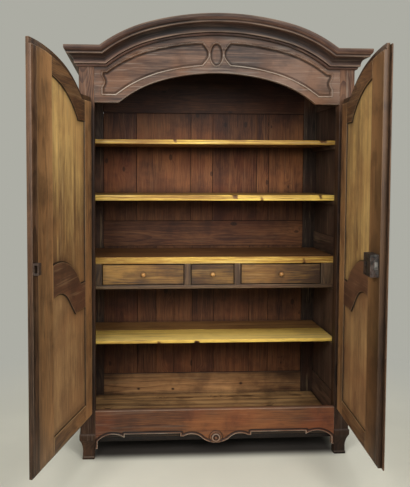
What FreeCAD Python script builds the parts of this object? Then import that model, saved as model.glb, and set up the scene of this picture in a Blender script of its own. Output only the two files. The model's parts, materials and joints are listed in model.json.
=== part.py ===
import FreeCAD, Part
import math
import os
import re

import Sketcher

# A two-door provincial armoire with an arched crown, four shelves, a bank of three small
# drawers, a scrolled apron and short scrolled feet. Millimetres, +X to the right as seen
# from the front, +Y towards the back, +Z up. The origin lies on the floor, in the middle
# of the width, in the plane of the carcass front.

doc = FreeCAD.newDocument("armoire")
sheet = doc.addObject("Spreadsheet::Sheet", "dim")

sizes = {
    # carcass
    "opening_half": 635,
    "post_width": 79,
    "post_depth": 60,
    "carcass_depth": 625,
    "rear_post_width": 94,
    "rear_post_depth": 40,
    "side_rail_thickness": 24,
    "side_panel_thickness": 12,
    "side_panel_inset": 8,
    "side_bottom_rail_foot": 104,
    "side_bottom_rail_head": 270,
    "side_middle_rail_foot": 1035,
    "side_middle_rail_head": 1150,
    "side_top_rail_width": 246,
    # feet
    "foot_knee_top": 137,
    "foot_knee_bottom": 110,
    "foot_knee_bulge": 5,
    "foot_ankle_height": 32,
    "foot_ankle_inset": 12,
    "foot_inner_inset": 6,
    "foot_shoe_height": 14,
    "foot_shoe_step": 2,
    "foot_back_inset": 4,
    "foot_scroll_radius": 130,
    # frieze and the arch of the opening
    "frieze_thickness": 32,
    "frieze_width": 179,
    "spring_height": 1867,
    "arch_shoulder": 123,
    "arch_mid_radius": 1100,
    "arch_end_radius": 598,
    "arch_turn": 15,
    # crown moulding
    "crown_spread": 60,
    "crown_mid_radius": 1293,
    "crown_end_radius": 638,
    "crown_turn": 15,
    "crown_backing": 80,
    "crown_neck": 8,
    "crown_bead_height": 14,
    "crown_bead_radius": 8,
    "crown_fillet_projection": 22,
    "crown_fillet_height": 10,
    "crown_cove_projection": 53,
    "crown_cove_height": 34,
    "crown_cove_radius": 38,
    "crown_list_projection": 58,
    "crown_list_height": 8,
    "crown_ovolo_height": 20,
    "crown_ovolo_radius": 26,
    "crown_projection": 70,
    "crown_band_height": 11,
    "top_board_thickness": 16,
    "top_board_count": 4,
    # apron
    "apron_thickness": 30,
    "apron_top": 262,
    "apron_edge": 135,
    "apron_pendant": 80,
    "apron_pendant_half": 70,
    "apron_pendant_side": 104,
    "apron_lobe_end": 172,
    "apron_lobe_foot": 118,
    "apron_lobe_radius": 84,
    "apron_notch_width": 16,
    "apron_wing_width": 141,
    "apron_wing_foot": 117,
    "apron_wing_radius": 108,
    "apron_ear_inset": 10,
    "apron_ear_top": 100,
    "apron_ear_width": 15,
    "apron_ear_foot": 60,
    "rosette_height": 109,
    "rosette_radius": 27,
    "rosette_thickness": 4,
    "rosette_boss_radius": 9,
    "rosette_boss_thickness": 9,
    # back
    "back_rail_setback": 13,
    "back_rail_thickness": 22,
    "back_board_recess": 4,
    "back_board_thickness": 14,
    "back_bottom_rail_foot": 104,
    "back_bottom_rail_head": 259,
    "back_middle_rail_foot": 1059,
    "back_middle_rail_head": 1214,
    "back_top_rail_width": 252,
    "upper_joint_one": -418,
    "upper_joint_two": -83,
    "upper_joint_three": 53,
    "upper_joint_four": 327,
    "upper_joint_five": 402,
    "lower_joint_one": -412,
    "lower_joint_two": -296,
    "lower_joint_three": -184,
    "lower_joint_four": -71,
    "lower_joint_five": 64,
    "lower_joint_six": 286,
    "lower_joint_seven": 407,
    # floor and shelves
    "floor_top": 130,
    "floor_thickness": 22,
    "floor_board_count": 3,
    "shelf_front": 172,
    "shelf_end_gap": 2,
    "top_shelf_level": 1690,
    "top_shelf_thickness": 24,
    "upper_shelf_level": 1388,
    "upper_shelf_thickness": 30,
    "middle_shelf_level": 1047,
    "middle_shelf_thickness": 37,
    "lower_shelf_level": 586,
    "lower_shelf_thickness": 18,
    "lower_shelf_joint": 385,
    "bearer_width": 22,
    "bearer_height": 22,
    # drawer case
    "case_height": 117,
    "case_floor_thickness": 21,
    "case_stile_width": 80,
    "case_upright_depth": 22,
    "muntin_start": 121,
    "muntin_width": 36,
    "guide_width": 26,
    "guide_height": 30,
    # drawers
    "drawer_gap": 3,
    "drawer_top_gap": 5,
    "drawer_inset": 2,
    "drawer_front_thickness": 18,
    "drawer_side_thickness": 10,
    "drawer_side_height": 88,
    "drawer_length": 300,
    "drawer_bottom_rise": 6,
    "drawer_bottom_thickness": 6,
    "runner_clearance": 0.3,
    "knob_neck_radius": 6,
    "knob_neck_length": 7,
    "knob_head_radius": 12.5,
    "knob_head_length": 15,
    # doors
    "door_overlap": 12,
    "door_fit": 3,
    "door_head_overlap": 24,
    "door_foot_overlap": 12,
    "door_lip": 15,
    "door_tongue": 10,
    "door_meeting": 27,
    "hinge_stile_width": 100,
    "free_stile_width": 144,
    "door_bottom_rail_width": 93,
    "door_panel_recess": 6,
    "door_panel_thickness": 12,
    "panel_fit": 0.2,
    "top_rail_width": 107,
    "panel_shoulder": 50,
    "panel_step_rise": 6.5,
    "panel_arc_reach": 356,
    "panel_arc_radius": 470,
    "middle_rail_level": 968,
    "middle_rail_head_flat": 60,
    "middle_rail_head_rise": 135,
    "middle_rail_head_radius": 311,
    "middle_rail_width": 126,
    "middle_rail_foot_flat": 118,
    "middle_rail_cusp_width": 4,
    "middle_rail_cusp_drop": 8,
    "middle_rail_turn_run": 200,
    "middle_rail_turn_rise": 74,
    "middle_rail_foot_rise": 115,
    "middle_rail_foot_radius": 160,
    "centre_strip_width": 51,
    "centre_strip_recess": 1,
    "astragal_width": 44,
    "astragal_overhang": 24,
    "astragal_edge": 4,
    "astragal_thickness": 11,
    "astragal_top_gap": 6,
    "left_open": 107,
    "right_open": 86,
    # hinges
    "hinge_offset": 23,
    "hinge_stand_off": 8,
    "knuckle_radius": 7,
    "knuckle_height": 50,
    "knuckle_gap": 0.3,
    "pin_radius": 3.5,
    "pin_height": 42,
    "bore_radius": 3.55,
    "bore_depth": 44,
    "finial_radius": 5.5,
    "leaf_thickness": 2.5,
    "leaf_fit": 0.1,
    "post_leaf_depth": 24,
    "door_leaf_depth": 25,
    "leaf_height": 46,
    "low_hinge_rise": 180,
    "middle_hinge_rise": 790,
    "high_hinge_drop": 177,
    # lock
    "lock_edge": 8,
    "lock_width": 90,
    "lock_height": 96,
    "lock_depth": 36,
    "lock_level": 1118,
    "lock_wall": 2,
    "bolt_height": 30,
    "bolt_thickness": 12,
    "bolt_length": 70,
    "bolt_rise": 6,
    "bolt_fit": 0.3,
    "keeper_edge": 4,
    "keeper_width": 25,
    "keeper_wall": 8,
    "keeper_bridge": 4,
    "keeper_fit": 1.5,
    "escutcheon_width": 34,
    "escutcheon_height": 110,
    "escutcheon_end_rise": 14,
    "escutcheon_thickness": 2,
    "keyhole_radius": 4.5,
    "keyhole_slot_width": 5,
    "keyhole_slot_height": 16,
}

for row, (name, size) in enumerate(sizes.items(), start=1):
    sheet.set(f"A{row}", name)
    sheet.set(f"B{row}", str(size))
    sheet.setAlias(f"B{row}", name)
doc.recompute()

word = re.compile(r"[a-z][a-z_]*")
finished = []


def bound(text):
    """The expression with each size's name pointing at its cell."""
    return word.sub(lambda hit: "dim." + hit[0] if hit[0] in sizes else hit[0], text)


def value(text):
    """What the expression comes to at the present sizes."""
    return float(sheet.evalExpression(text))


def finish(piece, label):
    """Marks a piece as one that is kept, under its own name."""
    piece.Label = label
    finished.append(piece)
    return piece


def on_side(side, low, high):
    """A range in X, kept for the right side (1) or mirrored for the left (-1)."""
    return (low, high) if side > 0 else (f"-({high})", f"-({low})")


# ---- building blocks -------------------------------------------------------------------------


def box(name, x, y, z):
    """A rectangular block between two expressions on each axis."""
    block = doc.addObject("Part::Box", name)
    for axis, edge, (low, high) in zip("xyz", ("Length", "Width", "Height"), (x, y, z)):
        block.setExpression(edge, bound(f"({high}) - ({low})"))
        block.setExpression(f"Placement.Base.{axis}", bound(low))
    return block


def group(name, pieces):
    """Separate solids that are kept in one file."""
    compound = doc.addObject("Part::Compound", name)
    compound.Links = pieces
    return compound


def cut(name, base, tools):
    """The base with the tools taken out of it."""
    tool = tools[0] if len(tools) == 1 else group(name + "_tools", tools)
    result = doc.addObject("Part::Cut", name)
    result.Base = base
    result.Tool = tool
    return result


def fuse(name, pieces):
    """The pieces joined to one solid."""
    result = doc.addObject("Part::MultiFuse", name)
    result.Shapes = pieces
    return result


def upright_cylinder(name, x, y, z, radius, height):
    """A cylinder that stands on z."""
    post = doc.addObject("Part::Cylinder", name)
    post.setExpression("Radius", bound(radius))
    post.setExpression("Height", bound(height))
    for axis, place in zip("xyz", (x, y, z)):
        post.setExpression(f"Placement.Base.{axis}", bound(place))
    return post


def origin_plane(body, role):
    """One of the body's own three base planes or axes."""
    return next(item for item in body.Origin.OriginFeatures if item.Role == role)


def arc_between(start, end, radius, bulge):
    """The short arc from start to end. It bulges to the left of the way for 1 and to the
    right for -1. Also says whether it had to be drawn from its end."""
    chord = end.sub(start)
    left = FreeCAD.Vector(-chord.y, chord.x, 0).normalize()
    depth = math.sqrt(radius**2 - (chord.Length / 2) ** 2)
    centre = (start + end) * 0.5 - left * (bulge * depth)
    first, last = (end, start) if bulge > 0 else (start, end)
    turn = [math.atan2(p.y - centre.y, p.x - centre.x) for p in (first, last)]
    if turn[1] < turn[0]:
        turn[1] += 2 * math.pi
    circle = Part.Circle(centre, FreeCAD.Vector(0, 0, 1), radius)
    return Part.ArcOfCircle(circle, turn[0], turn[1]), bulge > 0


def outline(body, name, role, points, closed=True, mirror=False):
    """A sketch through the points. A point is (across, up) as expressions, and one that
    starts an arc also has the arc's radius and its bulge: 1 to the left of the way, -1 to
    the right. Every corner is held by its two expressions and every arc by its radius."""
    sketch = body.newObject("Sketcher::SketchObject", name)
    sketch.AttachmentSupport = [(origin_plane(body, role), "")]
    sketch.MapMode = "FlatFace"
    if mirror:
        points = [(f"-({p[0]})", p[1], *p[2:3], *(-b for b in p[3:])) for p in points]
    spots = [FreeCAD.Vector(value(p[0]), value(p[1]), 0) for p in points]
    ends = []
    for index in range(len(points) if closed else len(points) - 1):
        after = (index + 1) % len(points)
        if len(points[index]) == 4:
            radius, bulge = points[index][2:]
            arc, reverse = arc_between(spots[index], spots[after], value(radius), bulge)
            edge = sketch.addGeometry(arc)
            number = sketch.addConstraint(Sketcher.Constraint("Radius", edge, value(radius)))
            sketch.setExpression(f"Constraints[{number}]", bound(radius))
            ends.append((edge, 2, 1) if reverse else (edge, 1, 2))
        else:
            edge = sketch.addGeometry(Part.LineSegment(spots[index], spots[after]))
            ends.append((edge, 1, 2))
    corners = [(edge, start) for edge, start, end in ends]
    if not closed:
        corners.append((ends[-1][0], ends[-1][2]))
    for index, (edge, start, end) in enumerate(ends):
        after = (index + 1) % len(corners)
        if corners[after][0] != edge:
            joint = Sketcher.Constraint("Coincident", edge, end, *corners[after])
            sketch.addConstraint(joint)
    for (edge, end), spot, point in zip(corners, spots, points):
        for kind, place, text in (("DistanceX", spot.x, point[0]), ("DistanceY", spot.y, point[1])):
            hold = Sketcher.Constraint(kind, -1, 1, edge, end, place)
            number = sketch.addConstraint(hold)
            sketch.setExpression(f"Constraints[{number}]", bound(text))
    return sketch


def pad(body, name, role, points, low, high, mirror=False):
    """The outline's solid between two expressions along the plane's normal. Seen along +Y
    the XZ plane's normal points to the viewer, so there the range is in -Y."""
    sketch = outline(body, name + "_outline", role, points, mirror=mirror)
    sketch.setExpression("AttachmentOffset.Base.z", bound(low))
    solid = body.newObject("PartDesign::Pad", name)
    solid.Profile = sketch
    solid.setExpression("Length", bound(f"({high}) - ({low})"))
    body.Tip = solid
    return solid


def rectangle(low, high, foot, head):
    """Corners of a rectangle, anticlockwise."""
    return [(low, foot), (high, foot), (high, head), (low, head)]


def front_board(name, layers, mirror=False):
    """A board drawn as seen from the front. Each layer is (points, front y, back y)."""
    body = doc.addObject("PartDesign::Body", name)
    for index, (points, front, back) in enumerate(layers):
        label = f"{name}_layer_{index}"
        pad(body, label, "XZ_Plane", points, f"-({back})", f"-({front})", mirror)
    return body


class BasketArch:
    """A three-centred arch over flat shoulders, and every line that runs parallel to it.
    The middle arc turns by `turn` degrees to each side and the end arcs go on from there."""

    def __init__(self, mid_radius, end_radius, turn, half, spring):
        self.mid_radius = mid_radius
        self.end_radius = end_radius
        self.turn = turn
        self.end_centre_x = f"(({mid_radius} - {end_radius}) * sin({turn}))"
        self.drop = f"sqrt({end_radius} ^ 2 - ({half} - {self.end_centre_x}) ^ 2)"
        self.spring = spring
        reach = f"({mid_radius} - {end_radius}) * cos({turn})"
        self.mid_centre_z = f"({spring} - {self.drop} - {reach})"

    def shoulder(self, offset):
        """Where the end arc meets the shoulder, at a distance outside the arch."""
        rise = f"({self.drop} + {offset})"
        run = f"sqrt(({self.end_radius} + {offset}) ^ 2 - {rise} ^ 2)"
        return f"({self.end_centre_x} + {run})", f"({self.spring} + {offset})"

    def turning(self, offset):
        """Where the end arc and the middle arc meet."""
        across = f"(({self.mid_radius} + {offset}) * sin({self.turn}))"
        up = f"({self.mid_centre_z} + ({self.mid_radius} + {offset}) * cos({self.turn}))"
        return across, up

    def crest(self, offset, across):
        """Height of the middle arc at a place across."""
        radius = f"({self.mid_radius} + {offset})"
        return f"({self.mid_centre_z} + sqrt({radius} ^ 2 - ({across}) ^ 2))"

    def end_arc(self, offset):
        return f"{self.end_radius} + {offset}"

    def mid_arc(self, offset):
        return f"{self.mid_radius} + {offset}"

    def left_to_right(self, offset):
        """Points from the left shoulder to the right one."""
        x, z = self.shoulder(offset)
        turn_x, turn_z = self.turning(offset)
        return [
            (f"-{x}", z, self.end_arc(offset), 1),
            (f"-{turn_x}", turn_z, self.mid_arc(offset), 1),
            (turn_x, turn_z, self.end_arc(offset), 1),
            (x, z),
        ]

    def right_to_left(self, offset):
        """Points from the right shoulder to the left one."""
        x, z = self.shoulder(offset)
        turn_x, turn_z = self.turning(offset)
        return [
            (x, z, self.end_arc(offset), -1),
            (turn_x, turn_z, self.mid_arc(offset), -1),
            (f"-{turn_x}", turn_z, self.end_arc(offset), -1),
            (f"-{x}", z),
        ]


arch_half = "(opening_half - arch_shoulder)"
crown_half = f"({arch_half} + crown_spread)"
crown_foot = "(spring_height + frieze_width)"
opening_arch = BasketArch(
    "arch_mid_radius", "arch_end_radius", "arch_turn", arch_half, "spring_height"
)
crown_arch = BasketArch(
    "crown_mid_radius", "crown_end_radius", "crown_turn", crown_half, crown_foot
)

# ---- places that several pieces share --------------------------------------------------------

post_outer = "opening_half + post_width"
side_inner = f"{post_outer} - side_rail_thickness"
post_head = f"{crown_foot} + crown_backing"
rear_post_front = "carcass_depth - rear_post_depth"
rear_post_inner = f"{post_outer} - rear_post_width"
back_rail_front = "carcass_depth - back_rail_setback - back_rail_thickness"
shelf_half = f"{side_inner} - shelf_end_gap"
shelf_depth = ("shelf_front", rear_post_front)
door_outer = "opening_half + door_overlap"
panel_outer = f"{door_outer} - hinge_stile_width"
panel_inner = "door_meeting + free_stile_width"
door_foot = "apron_top - door_foot_overlap"
tongue_foot = "apron_top + door_fit"
hinge_x = "opening_half + hinge_offset"
hinge_y = "-hinge_stand_off"
hinge_levels = (
    f"({door_foot} + low_hinge_rise)",
    f"({door_foot} + middle_hinge_rise)",
    "(spring_height - high_hinge_drop)",
)
case_floor_level = "(middle_shelf_level - middle_shelf_thickness - case_height)"
case_half = f"({shelf_half} - case_stile_width)"
sides = ((-1, "left"), (1, "right"))


# ---- hinges: a pintle in the post and a socket on the door, three to a door ------------------


def hinge_leaf_slot(name, side, x, y, level):
    """The mortise that a hinge leaf fills, a little larger than the leaf."""
    low = f"{level} - leaf_height / 2 - leaf_fit"
    high = f"{level} + leaf_height / 2 + leaf_fit"
    return box(name, on_side(side, *x), y, (low, high))


def post_leaf_place(fit="0"):
    half = f"(leaf_thickness / 2 + {fit})"
    return (f"{hinge_x} - {half}", f"{hinge_x} + {half}"), f"post_leaf_depth + {fit}"


def door_leaf_place(fit="0"):
    half = f"(leaf_thickness / 2 + {fit})"
    inner = f"{door_outer} - door_leaf_depth - {fit}"
    return inner, (f"{hinge_y} - {half}", f"{hinge_y} + {half}")


def pintle(name, side, level):
    """Lower knuckle with its pin, its leaf and a ball at the foot."""
    x = hinge_x if side > 0 else f"-({hinge_x})"
    foot = f"{level} - knuckle_height - knuckle_gap / 2"
    knuckle = upright_cylinder(name + "_knuckle", x, hinge_y, foot, "knuckle_radius", "knuckle_height")
    rise = "knuckle_height + pin_height"
    pin = upright_cylinder(name + "_pin", x, hinge_y, foot, "pin_radius", rise)
    ball = doc.addObject("Part::Sphere", name + "_ball")
    ball.setExpression("Radius", bound("finial_radius"))
    for axis, place in zip("xyz", (x, hinge_y, foot)):
        ball.setExpression(f"Placement.Base.{axis}", bound(place))
    across, depth = post_leaf_place()
    middle = f"{level} - knuckle_height / 2"
    height = (f"{middle} - leaf_height / 2", f"{middle} + leaf_height / 2")
    leaf = box(name + "_leaf", on_side(side, *across), (hinge_y, depth), height)
    return fuse(name, [knuckle, pin, ball, leaf])


def socket(name, side, level):
    """Upper knuckle with its blind bore, its leaf and a ball on top."""
    x = hinge_x if side > 0 else f"-({hinge_x})"
    foot = f"{level} + knuckle_gap / 2"
    knuckle = upright_cylinder(name + "_knuckle", x, hinge_y, foot, "knuckle_radius", "knuckle_height")
    ball = doc.addObject("Part::Sphere", name + "_ball")
    ball.setExpression("Radius", bound("finial_radius"))
    for axis, place in zip("xyz", (x, hinge_y, f"{foot} + knuckle_height")):
        ball.setExpression(f"Placement.Base.{axis}", bound(place))
    inner, depth = door_leaf_place()
    middle = f"{level} + knuckle_height / 2"
    height = (f"{middle} - leaf_height / 2", f"{middle} + leaf_height / 2")
    leaf = box(name + "_leaf", on_side(side, inner, hinge_x), depth, height)
    bore = upright_cylinder(name + "_bore", x, hinge_y, foot, "bore_radius", "bore_depth")
    return cut(name, fuse(name + "_body", [knuckle, ball, leaf]), [bore])


# ---- posts and feet --------------------------------------------------------------------------


def scrolled_edge(out, direction):
    """The outer edge of a foot from the knee down to the floor, `out` being the post's
    face and `direction` the sign that leads away from the post."""
    knee = f"{out} {direction} foot_knee_bulge"
    ankle = f"{out} {'-' if direction == '+' else '+'} foot_ankle_inset"
    shoe = f"{ankle} {direction} foot_shoe_step"
    return knee, ankle, shoe


def front_post(side, word_for_side):
    """Post and foot in one piece: what a front outline and a side outline have in common,
    with three mortises for the hinge leaves."""
    name = f"front_post_{word_for_side}"
    knee, ankle, shoe = scrolled_edge(post_outer, "+")
    front = doc.addObject("PartDesign::Body", name + "_seen_from_front")
    inner_foot = "opening_half + foot_inner_inset"
    points = [
        ("opening_half", post_head),
        ("opening_half", "foot_knee_bottom"),
        (inner_foot, "foot_ankle_height"),
        (inner_foot, "0"),
        (shoe, "0"),
        (shoe, "foot_shoe_height"),
        (ankle, "foot_shoe_height + foot_shoe_step"),
        (ankle, "foot_ankle_height", "foot_scroll_radius", 1),
        (knee, "foot_knee_bottom"),
        (knee, "foot_knee_top"),
        (post_outer, "foot_knee_top + foot_knee_bulge"),
        (post_outer, post_head),
    ]
    depth = ("-post_depth - foot_knee_bulge", "post_depth + foot_knee_bulge")
    pad(front, name + "_front", "XZ_Plane", points, *depth, mirror=side < 0)
    knee, ankle, shoe = scrolled_edge("0", "-")
    across = doc.addObject("PartDesign::Body", name + "_seen_from_side")
    points = [
        ("0", post_head),
        ("0", "foot_knee_top + foot_knee_bulge"),
        (knee, "foot_knee_top"),
        (knee, "foot_knee_bottom", "foot_scroll_radius", 1),
        (ankle, "foot_ankle_height"),
        (ankle, "foot_shoe_height + foot_shoe_step"),
        (shoe, "foot_shoe_height"),
        (shoe, "0"),
        ("post_depth - foot_back_inset", "0"),
        ("post_depth - foot_back_inset", "foot_ankle_height"),
        ("post_depth", "foot_knee_bottom"),
        ("post_depth", post_head),
    ]
    width = on_side(side, "opening_half - post_width", f"{post_outer} + post_width")
    pad(across, name + "_side", "YZ_Plane", points, *width)
    blank = doc.addObject("Part::Common", name + "_blank")
    blank.Base = front
    blank.Tool = across
    places, depth = post_leaf_place("leaf_fit")
    slots = []
    for index, level in enumerate(hinge_levels):
        middle = f"{level} - knuckle_height / 2"
        slots.append(hinge_leaf_slot(f"{name}_mortise_{index}", side, places, ("-1", depth), middle))
    return finish(cut(name + "_piece", blank, slots), name)


def rear_post(side, word_for_side):
    """A plain square post that runs straight to the floor."""
    name = f"rear_post_{word_for_side}"
    x = on_side(side, rear_post_inner, post_outer)
    return finish(box(name + "_piece", x, (rear_post_front, "carcass_depth"), ("0", post_head)), name)


for side, word_for_side in sides:
    front_post(side, word_for_side)
    rear_post(side, word_for_side)

# ---- frieze: the arched board between the front posts ----------------------------------------

frieze_points = [
    ("-opening_half", "spring_height"),
    *opening_arch.left_to_right("0"),
    ("opening_half", "spring_height"),
    ("opening_half", post_head),
    *crown_arch.right_to_left("crown_backing"),
    ("-opening_half", post_head),
]
finish(front_board("frieze_piece", [(frieze_points, "0", "frieze_thickness")]), "frieze_rail")

# ---- apron: the scrolled bottom rail with its rosette ----------------------------------------

notch_outer = "apron_lobe_end + apron_notch_width"
ear_x = "opening_half - apron_ear_inset"
wing_start = f"{ear_x} - apron_wing_width"
right_half = [
    ("apron_pendant_half", "apron_pendant_side", "apron_lobe_radius", 1),
    ("apron_lobe_end", "apron_lobe_foot"),
    (notch_outer, "apron_lobe_foot"),
    (notch_outer, "apron_edge"),
    (wing_start, "apron_edge"),
    (wing_start, "apron_wing_foot", "apron_wing_radius", 1),
    (ear_x, "apron_ear_top"),
    ("opening_half - apron_ear_width", "apron_ear_foot"),
    ("opening_half", "apron_ear_foot"),
    ("opening_half", "apron_top"),
]
left_half = []
for index in range(len(right_half) - 1, -1, -1):
    across, up = right_half[index][:2]
    arc = right_half[index - 1][2:] if index else ()
    left_half.append((f"-({across})", up, *arc))
pendant_drop = "(apron_pendant_side - apron_pendant)"
pendant_arc = f"(apron_pendant_half ^ 2 + {pendant_drop} ^ 2) / (2 * {pendant_drop})"
left_half[-1] = (*left_half[-1][:2], pendant_arc, -1)
apron = front_board("apron_piece", [(left_half + right_half, "0", "apron_thickness")])
for name, radius, proud in (
    ("rosette", "rosette_radius", "rosette_thickness"),
    ("rosette_boss", "rosette_boss_radius", "rosette_boss_thickness"),
):
    disc = apron.newObject("Sketcher::SketchObject", name + "_outline")
    disc.AttachmentSupport = [(origin_plane(apron, "XZ_Plane"), "")]
    disc.MapMode = "FlatFace"
    spot = FreeCAD.Vector(0, value("rosette_height"), 0)
    ring = disc.addGeometry(Part.Circle(spot, FreeCAD.Vector(0, 0, 1), value(radius)))
    disc.addConstraint(Sketcher.Constraint("PointOnObject", ring, 3, -2))
    height = Sketcher.Constraint("DistanceY", -1, 1, ring, 3, spot.y)
    number = disc.addConstraint(height)
    disc.setExpression(f"Constraints[{number}]", bound("rosette_height"))
    number = disc.addConstraint(Sketcher.Constraint("Radius", ring, value(radius)))
    disc.setExpression(f"Constraints[{number}]", bound(radius))
    boss = apron.newObject("PartDesign::Pad", name)
    boss.Profile = disc
    boss.setExpression("Length", bound(proud))
    apron.Tip = boss
finish(apron, "apron_rail")

# ---- sides: three rails and two panels each --------------------------------------------------

side_depth = ("post_depth", rear_post_front)
side_spans = (
    ("side_bottom_rail_foot", "side_bottom_rail_head"),
    ("side_middle_rail_foot", "side_middle_rail_head"),
    (f"{post_head} - side_top_rail_width", post_head),
)
for side, word_for_side in sides:
    name = f"side_rails_{word_for_side}"
    x = on_side(side, side_inner, post_outer)
    rails = [box(f"{name}_{i}", x, side_depth, z) for i, z in enumerate(side_spans)]
    finish(group(name + "_piece", rails), name)
    name = f"side_panels_{word_for_side}"
    face = f"{post_outer} - side_panel_inset"
    x = on_side(side, f"{face} - side_panel_thickness", face)
    gaps = [(side_spans[i][1], side_spans[i + 1][0]) for i in range(2)]
    panels = [box(f"{name}_{i}", x, side_depth, z) for i, z in enumerate(gaps)]
    finish(group(name + "_piece", panels), name)

# ---- back: three rails between the rear posts, and upright boards between the rails ----------

back_x = (f"-({rear_post_inner})", rear_post_inner)
back_top_rail_foot = f"{post_head} - back_top_rail_width"
back_spans = (
    ("back_bottom_rail_foot", "back_bottom_rail_head"),
    ("back_middle_rail_foot", "back_middle_rail_head"),
    (back_top_rail_foot, post_head),
)
back_depth = (back_rail_front, f"{back_rail_front} + back_rail_thickness")
rails = [box(f"back_rail_{i}", back_x, back_depth, z) for i, z in enumerate(back_spans)]
finish(group("back_rails_piece", rails), "back_rails")

board_front = f"{back_rail_front} + back_board_recess"
board_depth = (board_front, f"{board_front} + back_board_thickness")
upper_joints = ["one", "two", "three", "four", "five"]
lower_joints = upper_joints + ["six", "seven"]
for tier, joints, foot, head in (
    ("lower", lower_joints, "back_bottom_rail_head", "back_middle_rail_foot"),
    ("upper", upper_joints, "back_middle_rail_head", back_top_rail_foot),
):
    edges = [back_x[0], *(f"{tier}_joint_{joint}" for joint in joints), back_x[1]]
    boards = [
        box(f"back_board_{tier}_{i}", (edges[i], edges[i + 1]), board_depth, (foot, head))
        for i in range(len(edges) - 1)
    ]
    finish(group(f"back_boards_{tier}_piece", boards), f"back_boards_{tier}")

# ---- crown moulding: a front run that follows the arch, and a return on each side ------------

fillet_foot = "crown_bead_height"
cove_foot = f"{fillet_foot} + crown_fillet_height"
list_foot = f"{cove_foot} + crown_cove_height"
ovolo_foot = f"{list_foot} + crown_list_height"
band_foot = f"{ovolo_foot} + crown_ovolo_height"
crown_head = f"{band_foot} + crown_band_height"


def crown_profile(wall, out):
    """The moulding's section, `out` being the sign that leads away from the wall. The bead,
    the cove and the ovolo are arcs."""
    turn = 1 if out == "-" else -1

    def point(projection, height, *arc):
        return (f"{wall} {out} {projection}", f"{crown_foot} + {height}", *arc)

    return [
        point("0", "0"),
        point("crown_neck", "0", "crown_bead_radius", turn),
        point("crown_neck", fillet_foot),
        point("crown_fillet_projection", fillet_foot),
        point("crown_fillet_projection", cove_foot, "crown_cove_radius", -turn),
        point("crown_cove_projection", list_foot),
        point("crown_list_projection", list_foot),
        point("crown_list_projection", ovolo_foot, "crown_ovolo_radius", turn),
        point("crown_projection", band_foot),
        point("crown_projection", crown_head),
        point("0", crown_head),
    ]


def mitre(body, name, corners):
    """Takes the wedge over the corners away, up through the whole height."""
    sketch = outline(body, name + "_outline", "XY_Plane", corners)
    wedge = body.newObject("PartDesign::Pocket", name)
    wedge.Profile = sketch
    wedge.Type = "ThroughAll"
    wedge.Reversed = True
    body.Tip = wedge


crown_tip = f"{post_outer} + crown_projection"
front_run = doc.addObject("PartDesign::Body", "crown_front_piece")
path_points = [
    (f"-({crown_tip})", crown_foot),
    *crown_arch.left_to_right("0"),
    (crown_tip, crown_foot),
]
path = outline(front_run, "crown_path", "XZ_Plane", path_points, closed=False)
section = outline(front_run, "crown_section", "YZ_Plane", crown_profile("0", "-"))
section.setExpression("AttachmentOffset.Base.z", bound(f"-({crown_tip})"))
doc.recompute()
run = front_run.newObject("PartDesign::AdditivePipe", "crown_run")
run.Profile = section
run.Spine = (path, [])
run.Transition = "Right corner"
front_run.Tip = run
doc.recompute()
for side, word_for_side in sides:
    corners = [(post_outer, "1"), (post_outer, "0"), (crown_tip, "-crown_projection"), (crown_tip, "1")]
    if side < 0:
        corners = [(f"-({x})", y) for x, y in reversed(corners)]
    mitre(front_run, f"crown_front_mitre_{word_for_side}", corners)
finish(front_run, "cornice_front")

returns = []
for side, word_for_side in sides:
    name = f"crown_return_{word_for_side}"
    piece = doc.addObject("PartDesign::Body", name)
    depth = ("-(carcass_depth)", "crown_projection")
    pad(piece, name + "_run", "XZ_Plane", crown_profile(post_outer, "+"), *depth, mirror=side < 0)
    doc.recompute()
    corners = [
        (f"{post_outer} - 1", "-crown_projection - 1"),
        (f"{crown_tip} + 1", "-crown_projection - 1"),
        (f"{post_outer}", "0"),
        (f"{post_outer} - 1", "0"),
    ]
    if side < 0:
        corners = [(f"-({x})", y) for x, y in reversed(corners)]
    mitre(piece, name + "_mitre", corners)
    returns.append(piece)
finish(group("crown_returns_piece", returns), "cornice_returns")

# ---- top boards: laid across the carcass behind the frieze -----------------------------------


def equal_boards(name, count, x, y, z):
    """Boards of one width side by side between two places in Y."""
    low, high = y
    step = f"(({high}) - ({low})) / {count}"
    boards = []
    for index in range(int(value(count))):
        span = (f"({low}) + {index} * {step}", f"({low}) + {index + 1} * {step}")
        boards.append(box(f"{name}_{index}", x, span, z))
    return boards


boards = equal_boards(
    "top_board",
    "top_board_count",
    (f"-({post_outer})", post_outer),
    ("frieze_thickness", "carcass_depth"),
    (post_head, f"{post_head} + top_board_thickness"),
)
finish(group("top_boards_piece", boards), "top_boards")

# ---- floor, shelves and the bearers that carry them ------------------------------------------

floor_z = ("floor_top - floor_thickness", "floor_top")
shelf_x = (f"-({shelf_half})", shelf_half)
opening_x = ("-opening_half", "opening_half")
boards = [box("floor_board_front", opening_x, ("apron_thickness", "post_depth"), floor_z)]
boards += equal_boards("floor_board", "floor_board_count", shelf_x, side_depth, floor_z)
finish(group("floor_boards_piece", boards), "floor_boards")

for name in ("top_shelf", "upper_shelf", "middle_shelf"):
    z = (f"{name}_level - {name}_thickness", f"{name}_level")
    finish(box(name + "_piece", shelf_x, shelf_depth, z), name)
z = ("lower_shelf_level - lower_shelf_thickness", "lower_shelf_level")
boards = [
    box("lower_shelf_front", shelf_x, ("shelf_front", "lower_shelf_joint"), z),
    box("lower_shelf_back", shelf_x, ("lower_shelf_joint", rear_post_front), z),
]
finish(group("lower_shelf_piece", boards), "lower_shelf")

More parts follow.
